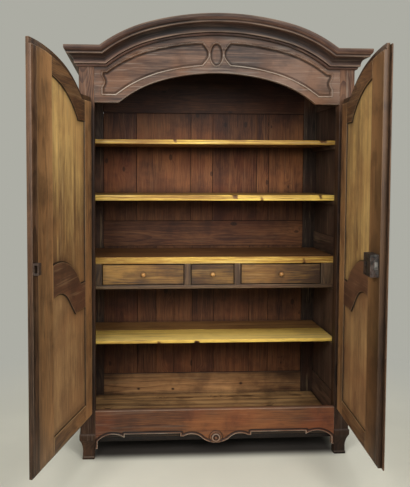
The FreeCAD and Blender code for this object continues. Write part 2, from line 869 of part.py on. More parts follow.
case_foot = f"{case_floor_level} - case_floor_thickness"
seats = {
    "floor": floor_z[0],
    "lower": "lower_shelf_level - lower_shelf_thickness",
    "case": case_foot,
    "upper": "upper_shelf_level - upper_shelf_thickness",
    "top": "top_shelf_level - top_shelf_thickness",
}
bearers = []
for side, word_for_side in sides:
    x = on_side(side, f"{side_inner} - bearer_width", side_inner)
    for name, seat in seats.items():
        z = (f"{seat} - bearer_height", seat)
        bearers.append(box(f"bearer_{name}_{word_for_side}", x, side_depth, z))
front_cleat = ("apron_thickness", "apron_thickness + bearer_width")
z = (f"{floor_z[0]} - bearer_height", floor_z[0])
bearers.append(box("bearer_floor_front", opening_x, front_cleat, z))
finish(group("shelf_bearers_piece", bearers), "shelf_bearers")

# ---- drawer case under the middle shelf ------------------------------------------------------

finish(
    box("drawer_case_floor_piece", shelf_x, shelf_depth, (case_foot, case_floor_level)),
    "drawer_case_floor",
)
case_head = "middle_shelf_level - middle_shelf_thickness"
muntin_end = "muntin_start + muntin_width"
upright_y = ("shelf_front", "shelf_front + case_upright_depth")
uprights = []
guides = []
for side, word_for_side in sides:
    for name, low, high in (
        ("stile", case_half, shelf_half),
        ("muntin", "muntin_start", muntin_end),
    ):
        x = on_side(side, low, high)
        uprights.append(box(f"{name}_{word_for_side}", x, upright_y, (case_floor_level, case_head)))
    guide_y = (upright_y[1], rear_post_front)
    guide_z = (case_floor_level, f"{case_floor_level} + guide_height")
    middle = "(muntin_start + muntin_width / 2)"
    inner = (f"{middle} - guide_width / 2", f"{middle} + guide_width / 2")
    outer = (case_half, f"{case_half} + guide_width")
    guides.append(box(f"inner_guide_{word_for_side}", on_side(side, *inner), guide_y, guide_z))
    guides.append(box(f"outer_guide_{word_for_side}", on_side(side, *outer), guide_y, guide_z))
finish(group("drawer_case_uprights_piece", uprights), "drawer_case_uprights")
finish(group("drawer_guides_piece", guides), "drawer_guides")

# ---- drawers ---------------------------------------------------------------------------------


def knob(name, x, y, z):
    """A turned knob on the middle of a drawer front: a straight neck and a domed head, whose
    ball has its centre on the knob's axis."""
    body = doc.addObject("PartDesign::Body", name)
    shoulder = "-knob_neck_length"
    dome = "(knob_head_length ^ 2 + knob_head_radius ^ 2) / (2 * knob_head_length)"
    points = [
        ("0", "0"),
        ("0", "knob_neck_radius"),
        (shoulder, "knob_neck_radius"),
        (shoulder, "knob_head_radius", dome, -1),
        (f"{shoulder} - knob_head_length", "0"),
    ]
    section = outline(body, name + "_section", "YZ_Plane", points)
    turned = body.newObject("PartDesign::Revolution", name + "_turned")
    turned.Profile = section
    turned.ReferenceAxis = (origin_plane(body, "Y_Axis"), [""])
    turned.Angle = 360
    body.Tip = turned
    for axis, place in zip("xyz", (x, y, z)):
        body.setExpression(f".Placement.Base.{axis}", bound(place))
    return body


def drawer(name, low, high):
    """Front, tray, bottom and knob of one drawer between two places in X."""
    front_y = "shelf_front + drawer_inset"
    tray_front = f"{front_y} + drawer_front_thickness"
    tray_back = f"{tray_front} + drawer_length"
    front_foot = f"{case_floor_level} + drawer_gap"
    front_head = f"{case_head} - drawer_top_gap"
    front_z = (front_foot, front_head)
    finish(box(name + "_front_piece", (low, high), (front_y, tray_front), front_z), name + "_front")
    foot = f"{case_floor_level} + runner_clearance"
    tray_z = (foot, f"{foot} + drawer_side_height")
    inner_low = f"{low} + drawer_side_thickness"
    inner_high = f"{high} - drawer_side_thickness"
    back_y = (f"{tray_back} - drawer_side_thickness", tray_back)
    tray = [
        box(name + "_side_low", (low, inner_low), (tray_front, tray_back), tray_z),
        box(name + "_side_high", (inner_high, high), (tray_front, tray_back), tray_z),
        box(name + "_back", (inner_low, inner_high), back_y, tray_z),
    ]
    finish(group(name + "_tray_piece", tray), name + "_tray")
    bottom_foot = f"{foot} + drawer_bottom_rise"
    bottom_z = (bottom_foot, f"{bottom_foot} + drawer_bottom_thickness")
    bottom = box(name + "_bottom_piece", (inner_low, inner_high), (tray_front, back_y[0]), bottom_z)
    finish(bottom, name + "_bottom")
    middle_x = f"(({low}) + ({high})) / 2"
    middle_z = f"(({front_foot}) + ({front_head})) / 2"
    finish(knob(name + "_knob_piece", middle_x, front_y, middle_z), name + "_knob")


outer_drawer = (f"{muntin_end} + drawer_gap", f"{case_half} - drawer_gap")
drawer("left_drawer", *on_side(-1, *outer_drawer))
drawer("centre_drawer", "-(muntin_start - drawer_gap)", "muntin_start - drawer_gap")
drawer("right_drawer", *outer_drawer)

# ---- doors: drawn shut, then swung open about their hinge pins -------------------------------


def swing(piece, side):
    """Turns a door piece about its hinge line to the angle it stands open at."""
    angle = "right_open" if side > 0 else "-left_open"
    x = f"({hinge_x})" if side > 0 else f"(-({hinge_x}))"
    y = f"({hinge_y})"
    upright = FreeCAD.Vector(0, 0, 1)
    piece.Placement = FreeCAD.Placement(FreeCAD.Vector(), FreeCAD.Rotation(upright, 1))
    piece.setExpression(".Placement.Rotation.Angle", bound(angle) + " * 1 deg")
    across = f"{x} - {x} * cos({angle}) + {y} * sin({angle})"
    along = f"{y} - {x} * sin({angle}) - {y} * cos({angle})"
    piece.setExpression(".Placement.Base.x", bound(across))
    piece.setExpression(".Placement.Base.y", bound(along))
    return piece


lip = ("-door_lip", "0")
tongue = ("0", "door_tongue")
keyhole_x = "(door_meeting + free_stile_width / 2)"
tongue_outer = "opening_half - door_fit"
head_lip = "door_head_overlap"
head_tongue = "-door_fit"
panel_front = "door_tongue - door_panel_recess - door_panel_thickness"
panel_y = (panel_front, f"{panel_front} + door_panel_thickness")


def curved_head(low, high, foot, offset):
    """A board between two places across whose top follows the middle arc of the arch."""
    arc = opening_arch.mid_arc(offset)
    return [
        (low, foot),
        (high, foot),
        (high, opening_arch.crest(offset, high), arc, -1),
        (low, opening_arch.crest(offset, low)),
    ]


def arched_rail(offset, foot_offset):
    """The top rail: its head follows the arch of the opening, its foot the panel's arc."""
    shoulder_x, shoulder_z = opening_arch.shoulder(offset)
    turn_x, turn_z = opening_arch.turning(offset)
    radius = "panel_arc_radius"
    flat_z = "spring_height - top_rail_width"
    step_x = f"{arch_half} - panel_shoulder"
    step_z = f"{flat_z} + panel_step_rise"
    centre_x = f"({step_x} - panel_arc_reach)"
    centre_z = f"({step_z} - sqrt({radius} ^ 2 - panel_arc_reach ^ 2))"
    end_z = f"{centre_z} + sqrt({radius} ^ 2 - ({panel_inner} - {centre_x}) ^ 2)"
    return [
        (panel_outer, shoulder_z),
        (shoulder_x, shoulder_z, opening_arch.end_arc(offset), -1),
        (turn_x, turn_z, opening_arch.mid_arc(offset), -1),
        (panel_inner, opening_arch.crest(offset, panel_inner)),
        (panel_inner, f"{end_z} + {foot_offset}", radius, 1),
        (step_x, f"{step_z} + {foot_offset}"),
        (step_x, f"{flat_z} + {foot_offset}"),
        (panel_outer, f"{flat_z} + {foot_offset}"),
    ]


def shaped_middle_rail():
    """The middle rail: one quarter arch over another, both falling towards the hinges."""
    foot = "middle_rail_level - middle_rail_width"
    foot_start = f"{panel_outer} - middle_rail_foot_flat"
    turn_x = f"{panel_outer} - middle_rail_turn_run"
    head_start = f"{panel_outer} - middle_rail_head_flat"
    return [
        (panel_outer, "middle_rail_level"),
        (head_start, "middle_rail_level", "middle_rail_head_radius", -1),
        (panel_inner, "middle_rail_level + middle_rail_head_rise"),
        (panel_inner, f"{foot} + middle_rail_foot_rise", "middle_rail_foot_radius", 1),
        (turn_x, f"{foot} + middle_rail_turn_rise"),
        (f"{foot_start} - middle_rail_cusp_width", f"{foot} - middle_rail_cusp_drop"),
        (foot_start, foot),
        (panel_outer, foot),
    ]


def upper_panel_points():
    """The upper panel: it fills the space between the top rail and the middle rail."""
    head = arched_rail("0", "-panel_fit")[4:]
    foot = shaped_middle_rail()
    raised = [(p[0], f"{p[1]} + panel_fit", *p[2:]) for p in foot[:3]]
    return [*head, *raised]


def lower_panel_points():
    """The lower panel: it fills the space between the middle rail and the bottom rail."""
    head = [(p[0], f"{p[1]} - panel_fit", *p[2:]) for p in shaped_middle_rail()[3:]]
    foot = f"{door_foot} + door_bottom_rail_width"
    return [*head, (panel_outer, foot), (panel_inner, foot)]


def keyhole(name, depth):
    """Tools that cut a keyhole through between two places in Y: a round over a slot."""
    low, high = depth
    round_hole = doc.addObject("Part::Cylinder", name + "_round")
    round_hole.Placement.Rotation = FreeCAD.Rotation(FreeCAD.Vector(1, 0, 0), 90)
    round_hole.setExpression("Radius", bound("keyhole_radius"))
    round_hole.setExpression("Height", bound(f"({high}) - ({low})"))
    for axis, place in zip("xyz", (keyhole_x, high, "lock_level")):
        round_hole.setExpression(f"Placement.Base.{axis}", bound(place))
    half = "keyhole_slot_width / 2"
    x = (f"{keyhole_x} - {half}", f"{keyhole_x} + {half}")
    slot = box(name + "_slot", x, depth, ("lock_level - keyhole_slot_height", "lock_level"))
    return [round_hole, slot]


for side, word_for_side in sides:
    mirror = side < 0

    name = f"{word_for_side}_hinge_stile"
    shoulder = "spring_height + door_head_overlap"
    layers = [
        (rectangle(panel_outer, door_outer, door_foot, shoulder), *lip),
        (rectangle(panel_outer, tongue_outer, tongue_foot, "spring_height - door_fit"), *tongue),
    ]
    stile = front_board(name + "_blank", layers, mirror)
    inner, depth = door_leaf_place("leaf_fit")
    slots = []
    for index, level in enumerate(hinge_levels):
        middle = f"{level} + knuckle_height / 2"
        slot_x = (inner, f"{door_outer} + 1")
        slots.append(hinge_leaf_slot(f"{name}_mortise_{index}", side, slot_x, depth, middle))
    finish(swing(cut(name + "_piece", stile, slots), side), name)

    name = f"{word_for_side}_free_stile"
    layers = [
        (curved_head("door_meeting", panel_inner, door_foot, head_lip), *lip),
        (curved_head("door_meeting", panel_inner, tongue_foot, head_tongue), *tongue),
    ]
    stile = front_board(name + "_piece", layers, mirror)
    if side > 0:
        bore = keyhole(name + "_keyhole", ("-door_lip - 1", "door_tongue + 1"))
        stile = cut(name + "_bored", stile, bore)
    finish(swing(stile, side), name)

    name = f"{word_for_side}_top_rail"
    layers = [(arched_rail(head_lip, "0"), *lip), (arched_rail(head_tongue, "0"), *tongue)]
    finish(swing(front_board(name + "_piece", layers, mirror), side), name)

    name = f"{word_for_side}_middle_rail"
    whole = ("-door_lip", "door_tongue")
    rail = front_board(name + "_piece", [(shaped_middle_rail(), *whole)], mirror)
    finish(swing(rail, side), name)

    name = f"{word_for_side}_bottom_rail"
    rail_head = f"{door_foot} + door_bottom_rail_width"
    layers = [
        (rectangle(panel_inner, panel_outer, door_foot, rail_head), *lip),
        (rectangle(panel_inner, panel_outer, tongue_foot, rail_head), *tongue),
    ]
    finish(swing(front_board(name + "_piece", layers, mirror), side), name)

    name = f"{word_for_side}_upper_panel"
    panel = front_board(name + "_piece", [(upper_panel_points(), *panel_y)], mirror)
    finish(swing(panel, side), name)

    name = f"{word_for_side}_lower_panel"
    panel = front_board(name + "_piece", [(lower_panel_points(), *panel_y)], mirror)
    finish(swing(panel, side), name)

    name = f"{word_for_side}_hinge_sockets"
    knuckles = [socket(f"{name}_{i}", side, level) for i, level in enumerate(hinge_levels)]
    finish(swing(group(name + "_piece", knuckles), side), name)

pintles = [
    pintle(f"pintle_{word_for_side}_{i}", side, level)
    for side, word_for_side in sides
    for i, level in enumerate(hinge_levels)
]
finish(group("hinge_pintles_piece", pintles), "hinge_pintles")

# ---- meeting edge: a centre strip on the left door and an astragal on the right one ----------

strip_start = "-door_meeting"
strip_end = "(centre_strip_width - door_meeting)"
layers = [
    (curved_head(strip_start, strip_end, door_foot, head_lip), "centre_strip_recess - door_lip", "0"),
    (curved_head(strip_start, strip_end, tongue_foot, head_tongue), *tongue),
]
finish(swing(front_board("centre_strip_piece", layers), -1), "centre_strip")

cover_start = "(door_meeting - astragal_overhang)"
cover_end = f"{cover_start} + astragal_width"
cover_edge = "-door_lip - astragal_edge"
cover_rise = "(astragal_thickness - astragal_edge)"
cover_arc = f"(astragal_width / 2) ^ 2 / (2 * {cover_rise}) + {cover_rise} / 2"
astragal = doc.addObject("PartDesign::Body", "astragal_piece")
points = [
    (cover_start, "-door_lip"),
    (cover_start, cover_edge, cover_arc, -1),
    (cover_end, cover_edge),
    (cover_end, "-door_lip"),
]
cover_head = f"{opening_arch.crest(head_lip, cover_end)} - astragal_top_gap"
pad(astragal, "astragal_run", "XY_Plane", points, door_foot, cover_head)
finish(swing(astragal, 1), "astragal")

# ---- lock: a rim lock with a sliding bolt, its keeper and an escutcheon ----------------------

lock_start = "(door_meeting + lock_edge)"
lock_end = f"{lock_start} + lock_width"
lock_z = ("lock_level - lock_height / 2", "lock_level + lock_height / 2")
lock_y = ("door_tongue", "door_tongue + lock_depth")
bolt_y = ("door_tongue + bolt_rise", "door_tongue + bolt_rise + bolt_thickness")
bolt_z = ("lock_level - bolt_height / 2", "lock_level + bolt_height / 2")


def widened(span, room):
    return f"{span[0]} - {room}", f"{span[1]} + {room}"


shell = box("lock_shell", (lock_start, lock_end), lock_y, lock_z)
hollow = box(
    "lock_hollow",
    (f"{lock_start} + lock_wall", f"{lock_end} - lock_wall"),
    (f"{lock_y[0]} - 1", f"{lock_y[1]} - lock_wall"),
    (f"{lock_z[0]} + lock_wall", f"{lock_z[1]} - lock_wall"),
)
mouth = box(
    "lock_mouth",
    (f"{lock_start} - 1", f"{lock_start} + lock_wall + 1"),
    widened(bolt_y, "bolt_fit"),
    widened(bolt_z, "bolt_fit"),
)
finish(swing(cut("lock_case_piece", shell, [hollow, mouth]), 1), "lock_case")

bolt = box("lock_bolt_blank", (lock_start, f"{lock_start} + bolt_length"), bolt_y, bolt_z)
finish(swing(group("lock_bolt_piece", [bolt]), 1), "lock_bolt")

keeper_end = f"{strip_end} - keeper_edge"
keeper_x = (f"{keeper_end} - keeper_width", keeper_end)
keeper_block = box(
    "keeper_block",
    keeper_x,
    ("door_tongue", f"{bolt_y[1]} + keeper_fit + keeper_bridge"),
    widened(bolt_z, "(keeper_fit + keeper_wall)"),
)
keeper_mouth = box(
    "keeper_mouth",
    widened(keeper_x, "1"),
    (f"{bolt_y[0]} - keeper_fit", f"{bolt_y[1]} + keeper_fit"),
    widened(bolt_z, "keeper_fit"),
)
finish(swing(cut("lock_keeper_piece", keeper_block, [keeper_mouth]), -1), "lock_keeper")

plate_body = doc.addObject("PartDesign::Body", "escutcheon_blank")
half_width = "escutcheon_width / 2"
end_rise = "escutcheon_end_rise"
end_arc = f"(({half_width}) ^ 2 + {end_rise} ^ 2) / (2 * {end_rise})"
straight = f"(escutcheon_height / 2 - {end_rise})"
points = [
    (f"{keyhole_x} - {half_width}", f"lock_level - {straight}", end_arc, -1),
    (f"{keyhole_x} + {half_width}", f"lock_level - {straight}"),
    (f"{keyhole_x} + {half_width}", f"lock_level + {straight}", end_arc, -1),
    (f"{keyhole_x} - {half_width}", f"lock_level + {straight}"),
]
plate_y = ("-door_lip - escutcheon_thickness", "-door_lip")
pad(plate_body, "escutcheon_plate", "XZ_Plane", points, f"-({plate_y[1]})", f"-({plate_y[0]})")
plate_hole = keyhole("escutcheon_keyhole", (f"{plate_y[0]} - 1", f"{plate_y[1]} + 1"))
finish(swing(cut("escutcheon_piece", plate_body, plate_hole), 1), "escutcheon")

# ---- check and write -------------------------------------------------------------------------

doc.recompute()
for item in doc.Objects:
    if "Invalid" in item.State or "Error" in item.State:
        raise RuntimeError(f"{item.Label} failed: {item.State}")
names = [piece.Label for piece in finished]
if len(set(names)) != len(names):
    raise RuntimeError("two pieces share a name")
for piece in finished:
    if piece.Shape.isNull() or not piece.Shape.isValid():
        raise RuntimeError(f"{piece.Label} has no valid shape")
    if not piece.Shape.Solids:
        raise RuntimeError(f"{piece.Label} holds no solid")

os.makedirs("parts", exist_ok=True)
for piece in finished:
    piece.Shape.exportStep(f"parts/{piece.Label}.step")
print(len(finished), "pieces written")
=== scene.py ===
import json
import math

import bpy
import numpy as np
from mathutils import Matrix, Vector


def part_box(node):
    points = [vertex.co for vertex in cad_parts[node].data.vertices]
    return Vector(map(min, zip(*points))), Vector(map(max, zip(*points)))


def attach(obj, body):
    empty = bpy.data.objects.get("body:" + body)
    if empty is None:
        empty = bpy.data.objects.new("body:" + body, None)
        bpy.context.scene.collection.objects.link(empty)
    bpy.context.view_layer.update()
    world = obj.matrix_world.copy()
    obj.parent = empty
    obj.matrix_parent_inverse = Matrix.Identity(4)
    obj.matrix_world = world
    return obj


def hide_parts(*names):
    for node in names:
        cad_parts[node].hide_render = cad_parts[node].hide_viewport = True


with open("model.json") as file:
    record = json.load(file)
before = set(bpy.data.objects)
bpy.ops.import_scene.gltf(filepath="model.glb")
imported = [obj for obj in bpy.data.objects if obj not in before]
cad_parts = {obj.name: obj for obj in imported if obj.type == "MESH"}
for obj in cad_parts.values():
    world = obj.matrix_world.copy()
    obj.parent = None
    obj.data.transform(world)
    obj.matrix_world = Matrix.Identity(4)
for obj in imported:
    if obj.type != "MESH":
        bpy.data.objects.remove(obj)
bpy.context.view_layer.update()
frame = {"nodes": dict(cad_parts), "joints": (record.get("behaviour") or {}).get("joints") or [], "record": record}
nodeBody = {node: body for body, nodes in frame["record"]["behaviour"]["bodies"].items() for node in nodes}

mm = 0.001
axisX, axisY, axisZ = 0, 1, 2

bpy.context.scene.view_settings.view_transform = "Standard"

# camera: a standing eye, a little left of the middle
cameraView = {
    "place": (-0.43473, -3.05234, 1.50489),
    "yaw": 3.1488,  # degrees to the right
    "pitch": 2.8946,  # degrees down
    "roll": 0.15606,  # degrees
    "focalPixels": 592.07,
    "centrePixel": (166.316, 203.581),
    "imagePixels": (410, 487),
    "sensor": 36,
}


def stacked(*values):
    # coordinates side by side, each spread to the common shape
    return np.stack(np.broadcast_arrays(*values), axis=-1)


def stand(name, data, right, up, back, place):
    # an object of the scene with the given axes and place
    turn = np.eye(4)
    turn[:3] = stacked(right, up, back, place)
    holder = bpy.data.objects.new(name, data)
    holder.matrix_world = Matrix(turn.tolist())
    bpy.context.scene.collection.objects.link(holder)
    return holder


def makeCamera(setup):
    # right, up and back axes from yaw, then pitch, then roll about the line of sight
    yaw, pitch, roll = (math.radians(setup[key]) for key in ("yaw", "pitch", "roll"))
    ahead = np.array([math.sin(yaw) * math.cos(pitch), math.cos(yaw) * math.cos(pitch), -math.sin(pitch)])
    level = np.array([math.cos(yaw), -math.sin(yaw), 0])
    upright = np.cross(level, ahead)
    right = math.cos(roll) * level + math.sin(roll) * upright
    up = math.cos(roll) * upright - math.sin(roll) * level
    wide, high = setup["imagePixels"]
    lens = bpy.data.cameras.new("camera")
    lens.sensor_width = setup["sensor"]
    lens.lens = setup["focalPixels"] / max(wide, high) * setup["sensor"]
    lens.shift_x = (wide / 2 - setup["centrePixel"][0]) / max(wide, high)
    lens.shift_y = (setup["centrePixel"][1] - high / 2) / max(wide, high)
    bpy.context.scene.camera = stand("camera", lens, right, up, -ahead, setup["place"])


def paint(screen):
    # a colour given as 0-255 screen values, as the linear values that a shader takes
    share = np.array(screen) / 255
    linear = np.where(share <= 0.04045, share / 12.92, ((share + 0.055) / 1.055) ** 2.4)
    return (*linear.tolist(), 1)


class Wiring:
    # adds nodes to one tree; a value is a number, a colour or another node's output
    def __init__(self, tree):
        self.tree = tree

    def add(self, kind, settings=None, **values):
        made = self.tree.nodes.new("ShaderNode" + kind)
        for key, value in (settings or {}).items():
            setattr(made, key, value)
        for key, value in values.items():
            self.feed(made.inputs[key.replace("_", " ")], value)
        return made

    def feed(self, socket, value):
        if isinstance(value, bpy.types.NodeSocket):
            self.tree.links.new(value, socket)
        else:
            socket.default_value = value

    def math(self, operation, *values, clamp=False):
        made = self.add("Math", {"operation": operation, "use_clamp": clamp})
        for socket, value in zip(made.inputs, values):
            self.feed(socket, value)
        return made.outputs[0]

    def times(self, one, two):
        return self.math("MULTIPLY", one, two)

    def plus(self, one, two, clamp=False):
        return self.math("ADD", one, two, clamp=clamp)

    def minus(self, one, two):
        return self.math("SUBTRACT", one, two)

    def timesPlus(self, one, two, rest, clamp=False):
        # one times two, plus the rest
        return self.math("MULTIPLY_ADD", one, two, rest, clamp=clamp)

    def vector(self, operation, *values):
        made = self.add("VectorMath", {"operation": operation})
        for socket, value in zip(made.inputs, values):
            self.feed(socket, value)
        return made.outputs["Value" if operation in ("LENGTH", "DOT_PRODUCT") else "Vector"]

    def scaled(self, place, stretch):
        # stretch is one number, or one for each axis
        return self.vector("MULTIPLY", place, stretch if isinstance(stretch, tuple) else (stretch,) * 3)

    def noise(self, place, stretch, detail=2.0, rough=0.5):
        place = self.scaled(place, stretch)
        return self.add("TexNoise", Vector=place, Scale=1.0, Detail=detail, Roughness=rough).outputs["Fac"]

    def band(self, value, low, high, start=0.0, end=1.0):
        # smooth step from start to end as value goes from low to high
        made = self.add("MapRange", {"interpolation_type": "SMOOTHSTEP"})
        for socket, number in zip(made.inputs, (value, low, high, start, end)):
            self.feed(socket, number)
        return made.outputs[0]

    def mix(self, share, low, high, blend="MIX"):
        made = self.add("Mix", {"data_type": "RGBA", "blend_type": blend, "clamp_factor": True})
        for index, value in ((0, share), (6, low), (7, high)):
            self.feed(made.inputs[index], value)
        return made.outputs[2]

    def layered(self, colour, look, layers):
        # each layer is a colour of the look and the share of it that lies over those before it
        for key, share in layers:
            colour = self.mix(share, colour, paint(look[key]))
        return colour


def newGroup(name, inputs, outputs):
    # an empty node group with the given inputs, and one float output for each label
    tree = bpy.data.node_groups.new(name, "ShaderNodeTree")
    for label, kind, default in inputs:
        socket = tree.interface.new_socket(label, in_out="INPUT", socket_type="NodeSocket" + kind)
        if default is not None:
            socket.default_value = default
    for label in outputs:
        tree.interface.new_socket(label, in_out="OUTPUT", socket_type="NodeSocketFloat")
    source = tree.nodes.new("NodeGroupInput")
    sink = tree.nodes.new("NodeGroupOutput")
    return Wiring(tree), source.outputs, sink.inputs


figureSetup = {  # stretches are waves to the metre along the grain, across it and into the board
    "knotCells": (3.0, 9.0, 0.0),
    "knotSquash": 0.6,  # makes a knot longer than it is wide
    "knotSize": (8 * mm, 5 * mm),  # spread and least
    "knotRim": (1.15, 0.85),
    "knotRings": 14.0,
    "knotBulge": 20 * mm,  # how far the year rings give way to a knot
    "bulgeReach": 3.0,
    "lean": 30 * mm,
    "leanStretch": (0.9, 5.0, 5.0),
    "sway": 90 * mm,
    "swayStretch": (1.4, 2.0, 2.0),
    "swayShift": (7.3, 1.9, 4.1),
    "lateWood": (0.25, 0.9),  # where in a ring its dark part begins and is full
    "ringEnd": (1.0, 0.94),
    "fibre": ((12.0, 420.0, 420.0), 3.0, 0.6),  # stretch, detail and roughness of the noise
    "streaks": ((0.9, 34.0, 34.0), 3.0, 0.6),
    "patches": ((2.6, 6.0, 6.0), 3.0, 0.55),
    "rubs": ((3.2, 75.0, 75.0), 3.0, 0.65),
    "paleMarking": (0.56, 0.68),
}


def makeWoodFigure(setup):
    # year rings round the tree's heart, with fibre, broad streaks and knots, from grain coordinates
    # in metres: along the grain, across it, and into the board
    wires, given, result = newGroup(
        "woodFigure",
        [("Grain", "Vector", None), ("Ring Width", "Float", 4 * mm),
         ("Waviness", "Float", 1.0), ("Knots", "Float", 0.2)],
        ("Rings", "Fibre", "Streaks", "Patches", "Knot", "Rubs"),
    )
    grain = given["Grain"]
    split = wires.add("SeparateXYZ", Vector=grain).outputs
    # knots: cells on the face of the board, of which a few hold an oval knot
    along, across, _ = cells = setup["knotCells"]
    face = wires.scaled(grain, cells)
    flat = {"voronoi_dimensions": "2D"}
    cell = wires.add("TexVoronoi", flat, Vector=face, Scale=1.0, Randomness=0.8).outputs
    away = wires.vector("SUBTRACT", cell["Position"], face)
    away = wires.vector("LENGTH", wires.scaled(away, (setup["knotSquash"] / along, 1 / across, 0)))
    chance = wires.add("SeparateColor", Color=cell["Color"]).outputs
    chosen = wires.math("LESS_THAN", chance["Red"], given["Knots"])
    reach = wires.math("DIVIDE", away, wires.timesPlus(chance["Green"], *setup["knotSize"]))
    knot = wires.times(wires.band(reach, *setup["knotRim"]), chosen)
    ownRings = wires.timesPlus(wires.math("SINE", wires.times(reach, setup["knotRings"])), 0.25, 0.75)
    bulge = wires.math("POWER", wires.math("DIVIDE", reach, setup["bulgeReach"]), 2.0)
    bulge = wires.times(wires.math("POWER", 2.718, wires.times(bulge, -1.0)), chosen)
    # rings: whole ring widths from the heart, which sways and leans along the board
    lean = wires.minus(wires.noise(grain, setup["leanStretch"]), 0.5)
    sway = wires.vector("ADD", grain, setup["swayShift"])
    sway = wires.minus(wires.noise(sway, setup["swayStretch"]), 0.5)
    heart = wires.plus(split["Z"], wires.times(wires.times(sway, setup["sway"]), given["Waviness"]))
    radius = wires.plus(wires.math("POWER", split["Y"], 2.0), wires.math("POWER", heart, 2.0))
    lean = wires.times(wires.times(lean, setup["lean"]), given["Waviness"])
    radius = wires.plus(wires.math("SQRT", radius), lean)
    radius = wires.plus(radius, wires.times(bulge, setup["knotBulge"]))
    phase = wires.math("DIVIDE", radius, given["Ring Width"])
    inRing = wires.math("FRACT", phase)
    late = wires.times(wires.band(inRing, *setup["lateWood"]), wires.band(inRing, *setup["ringEnd"]))
    year = wires.math("FLOOR", phase)
    year = wires.add("TexWhiteNoise", {"noise_dimensions": "1D"}, W=year).outputs["Value"]
    wires.feed(result["Rings"], wires.times(late, wires.timesPlus(year, 0.7, 0.3)))
    for label in ("Fibre", "Streaks", "Patches"):
        wires.feed(result[label], wires.noise(grain, *setup[label.lower()]))
    wires.feed(result["Knot"], wires.times(knot, ownRings))
    wires.feed(result["Rubs"], wires.band(wires.noise(grain, *setup["rubs"]), *setup["paleMarking"]))
    return wires.tree


agingSetup = {
    "edgeTurn": (0.01, 0.16),  # bends of the surface at which wear begins and is full
    "edgeOpen": (0.55, 0.9),  # and how open the place has to be
    "breaks": (22, 3.0, 0.65),  # noise that breaks up wear, and grime with painted shade
    "wearBreaks": (0.36, 0.6),
    "grimeAndShadeBreaks": (0.25, 0.6, 0.6, 1.0),
    "blots": (6, 5.0, 0.62),
    "stained": (0.47, 0.66),
}


def makeAging(setup):
    # wear where an outer edge is near, grime and painted shade where surfaces meet, both broken up by noise, and
    # dark stains
    wires, given, result = newGroup(
        "aging",
        [("Place", "Vector", None), ("Edge Reach", "Float", 4 * mm), ("Corner Reach", "Float", 40 * mm)],
        ("Wear", "GrimeAndShade", "Stain"),
    )
    rounded = wires.add("Bevel", {"samples": 4}, Radius=given["Edge Reach"]).outputs["Normal"]
    facing = wires.add("NewGeometry").outputs["Normal"]
    turn = wires.minus(1.0, wires.vector("DOT_PRODUCT", rounded, facing))
    corner = wires.add("AmbientOcclusion", {"samples": 6}, Distance=given["Corner Reach"]).outputs["AO"]
    breaks = wires.noise(given["Place"], *setup["breaks"])
    edge = wires.times(wires.band(turn, *setup["edgeTurn"]), wires.band(corner, *setup["edgeOpen"]))
    wires.feed(result["Wear"], wires.times(edge, wires.band(breaks, *setup["wearBreaks"])))
    grimeAndShade = wires.times(wires.minus(1.0, corner), wires.band(breaks, *setup["grimeAndShadeBreaks"]))
    wires.feed(result["GrimeAndShade"], grimeAndShade)
    blots = wires.noise(given["Place"], *setup["blots"])
    wires.feed(result["Stain"], wires.band(blots, *setup["stained"]))
    return wires.tree


woodFigure = makeWoodFigure(figureSetup)
aging = makeAging(agingSetup)


def newFinish(name):
    # an empty material, and the wiring of its tree
    finish = bpy.data.materials.new(name)
    finish.use_nodes = True
    finish.node_tree.nodes.clear()
    return finish, Wiring(finish.node_tree)


def addAge(wires, place, look):
    # the aging masks at a place, for this finish's reach of wear and of grime
    reaches = {"Edge_Reach": look["edgeReach"], "Corner_Reach": look["cornerReach"]}
    return wires.add("Group", {"node_tree": aging}, Place=place, **reaches).outputs


plainLook = {  # a wood: its colours as screen values, and how strongly each part of the figure shows
    "light": (118, 91, 74),
    "dark": (42, 30, 25),
    "blush": (118, 70, 42),
    "blushing": 0.35,
    "blushPatches": 3.1,  # waves to the metre
    "blushed": (0.42, 0.7),
    "stain": (48, 34, 25),
    "staining": 0.45,
    "rubs": 0.25,
    # colour of the darkening: dirt and painted shade
    "shadeAndDirt": (84, 78, 82),
    "knot": (34, 22, 16),
    "knotting": 0.85,
    # the next three: the pale colour of wear and of painted highlights, the strength of edge wear, and the
    # strength of the pale marks, wear and painted highlights alike
    "paleWearAndHighlight": (176, 150, 112),
    "wearing": 0.5,
    "paleMarking": 0.9,
    # the next two: colour and strength of grime and painted shade where surfaces meet
    "grimeAndShade": (22, 16, 13),
    "grimeAndShading": 0.9,
    "streaks": 2.4,
    "patches": 1.4,
    "fibre": 1.0,
    "rings": 0.55,
    "ringWidth": 5.5 * mm,
    "waviness": 1.0,
    "knots": 0.0,
    "edgeReach": 4 * mm,
    "cornerReach": 40 * mm,
    "rough": 0.52,
    "fibreRough": 0.16,
    "grimeRough": 0.2,
    "ringRelief": 0.12,
    "fibreRelief": 0.28,
    "relief": 1 * mm,
    "wax": 0.0,
    "waxRough": 0.35,
    "shine": 0.4,
}


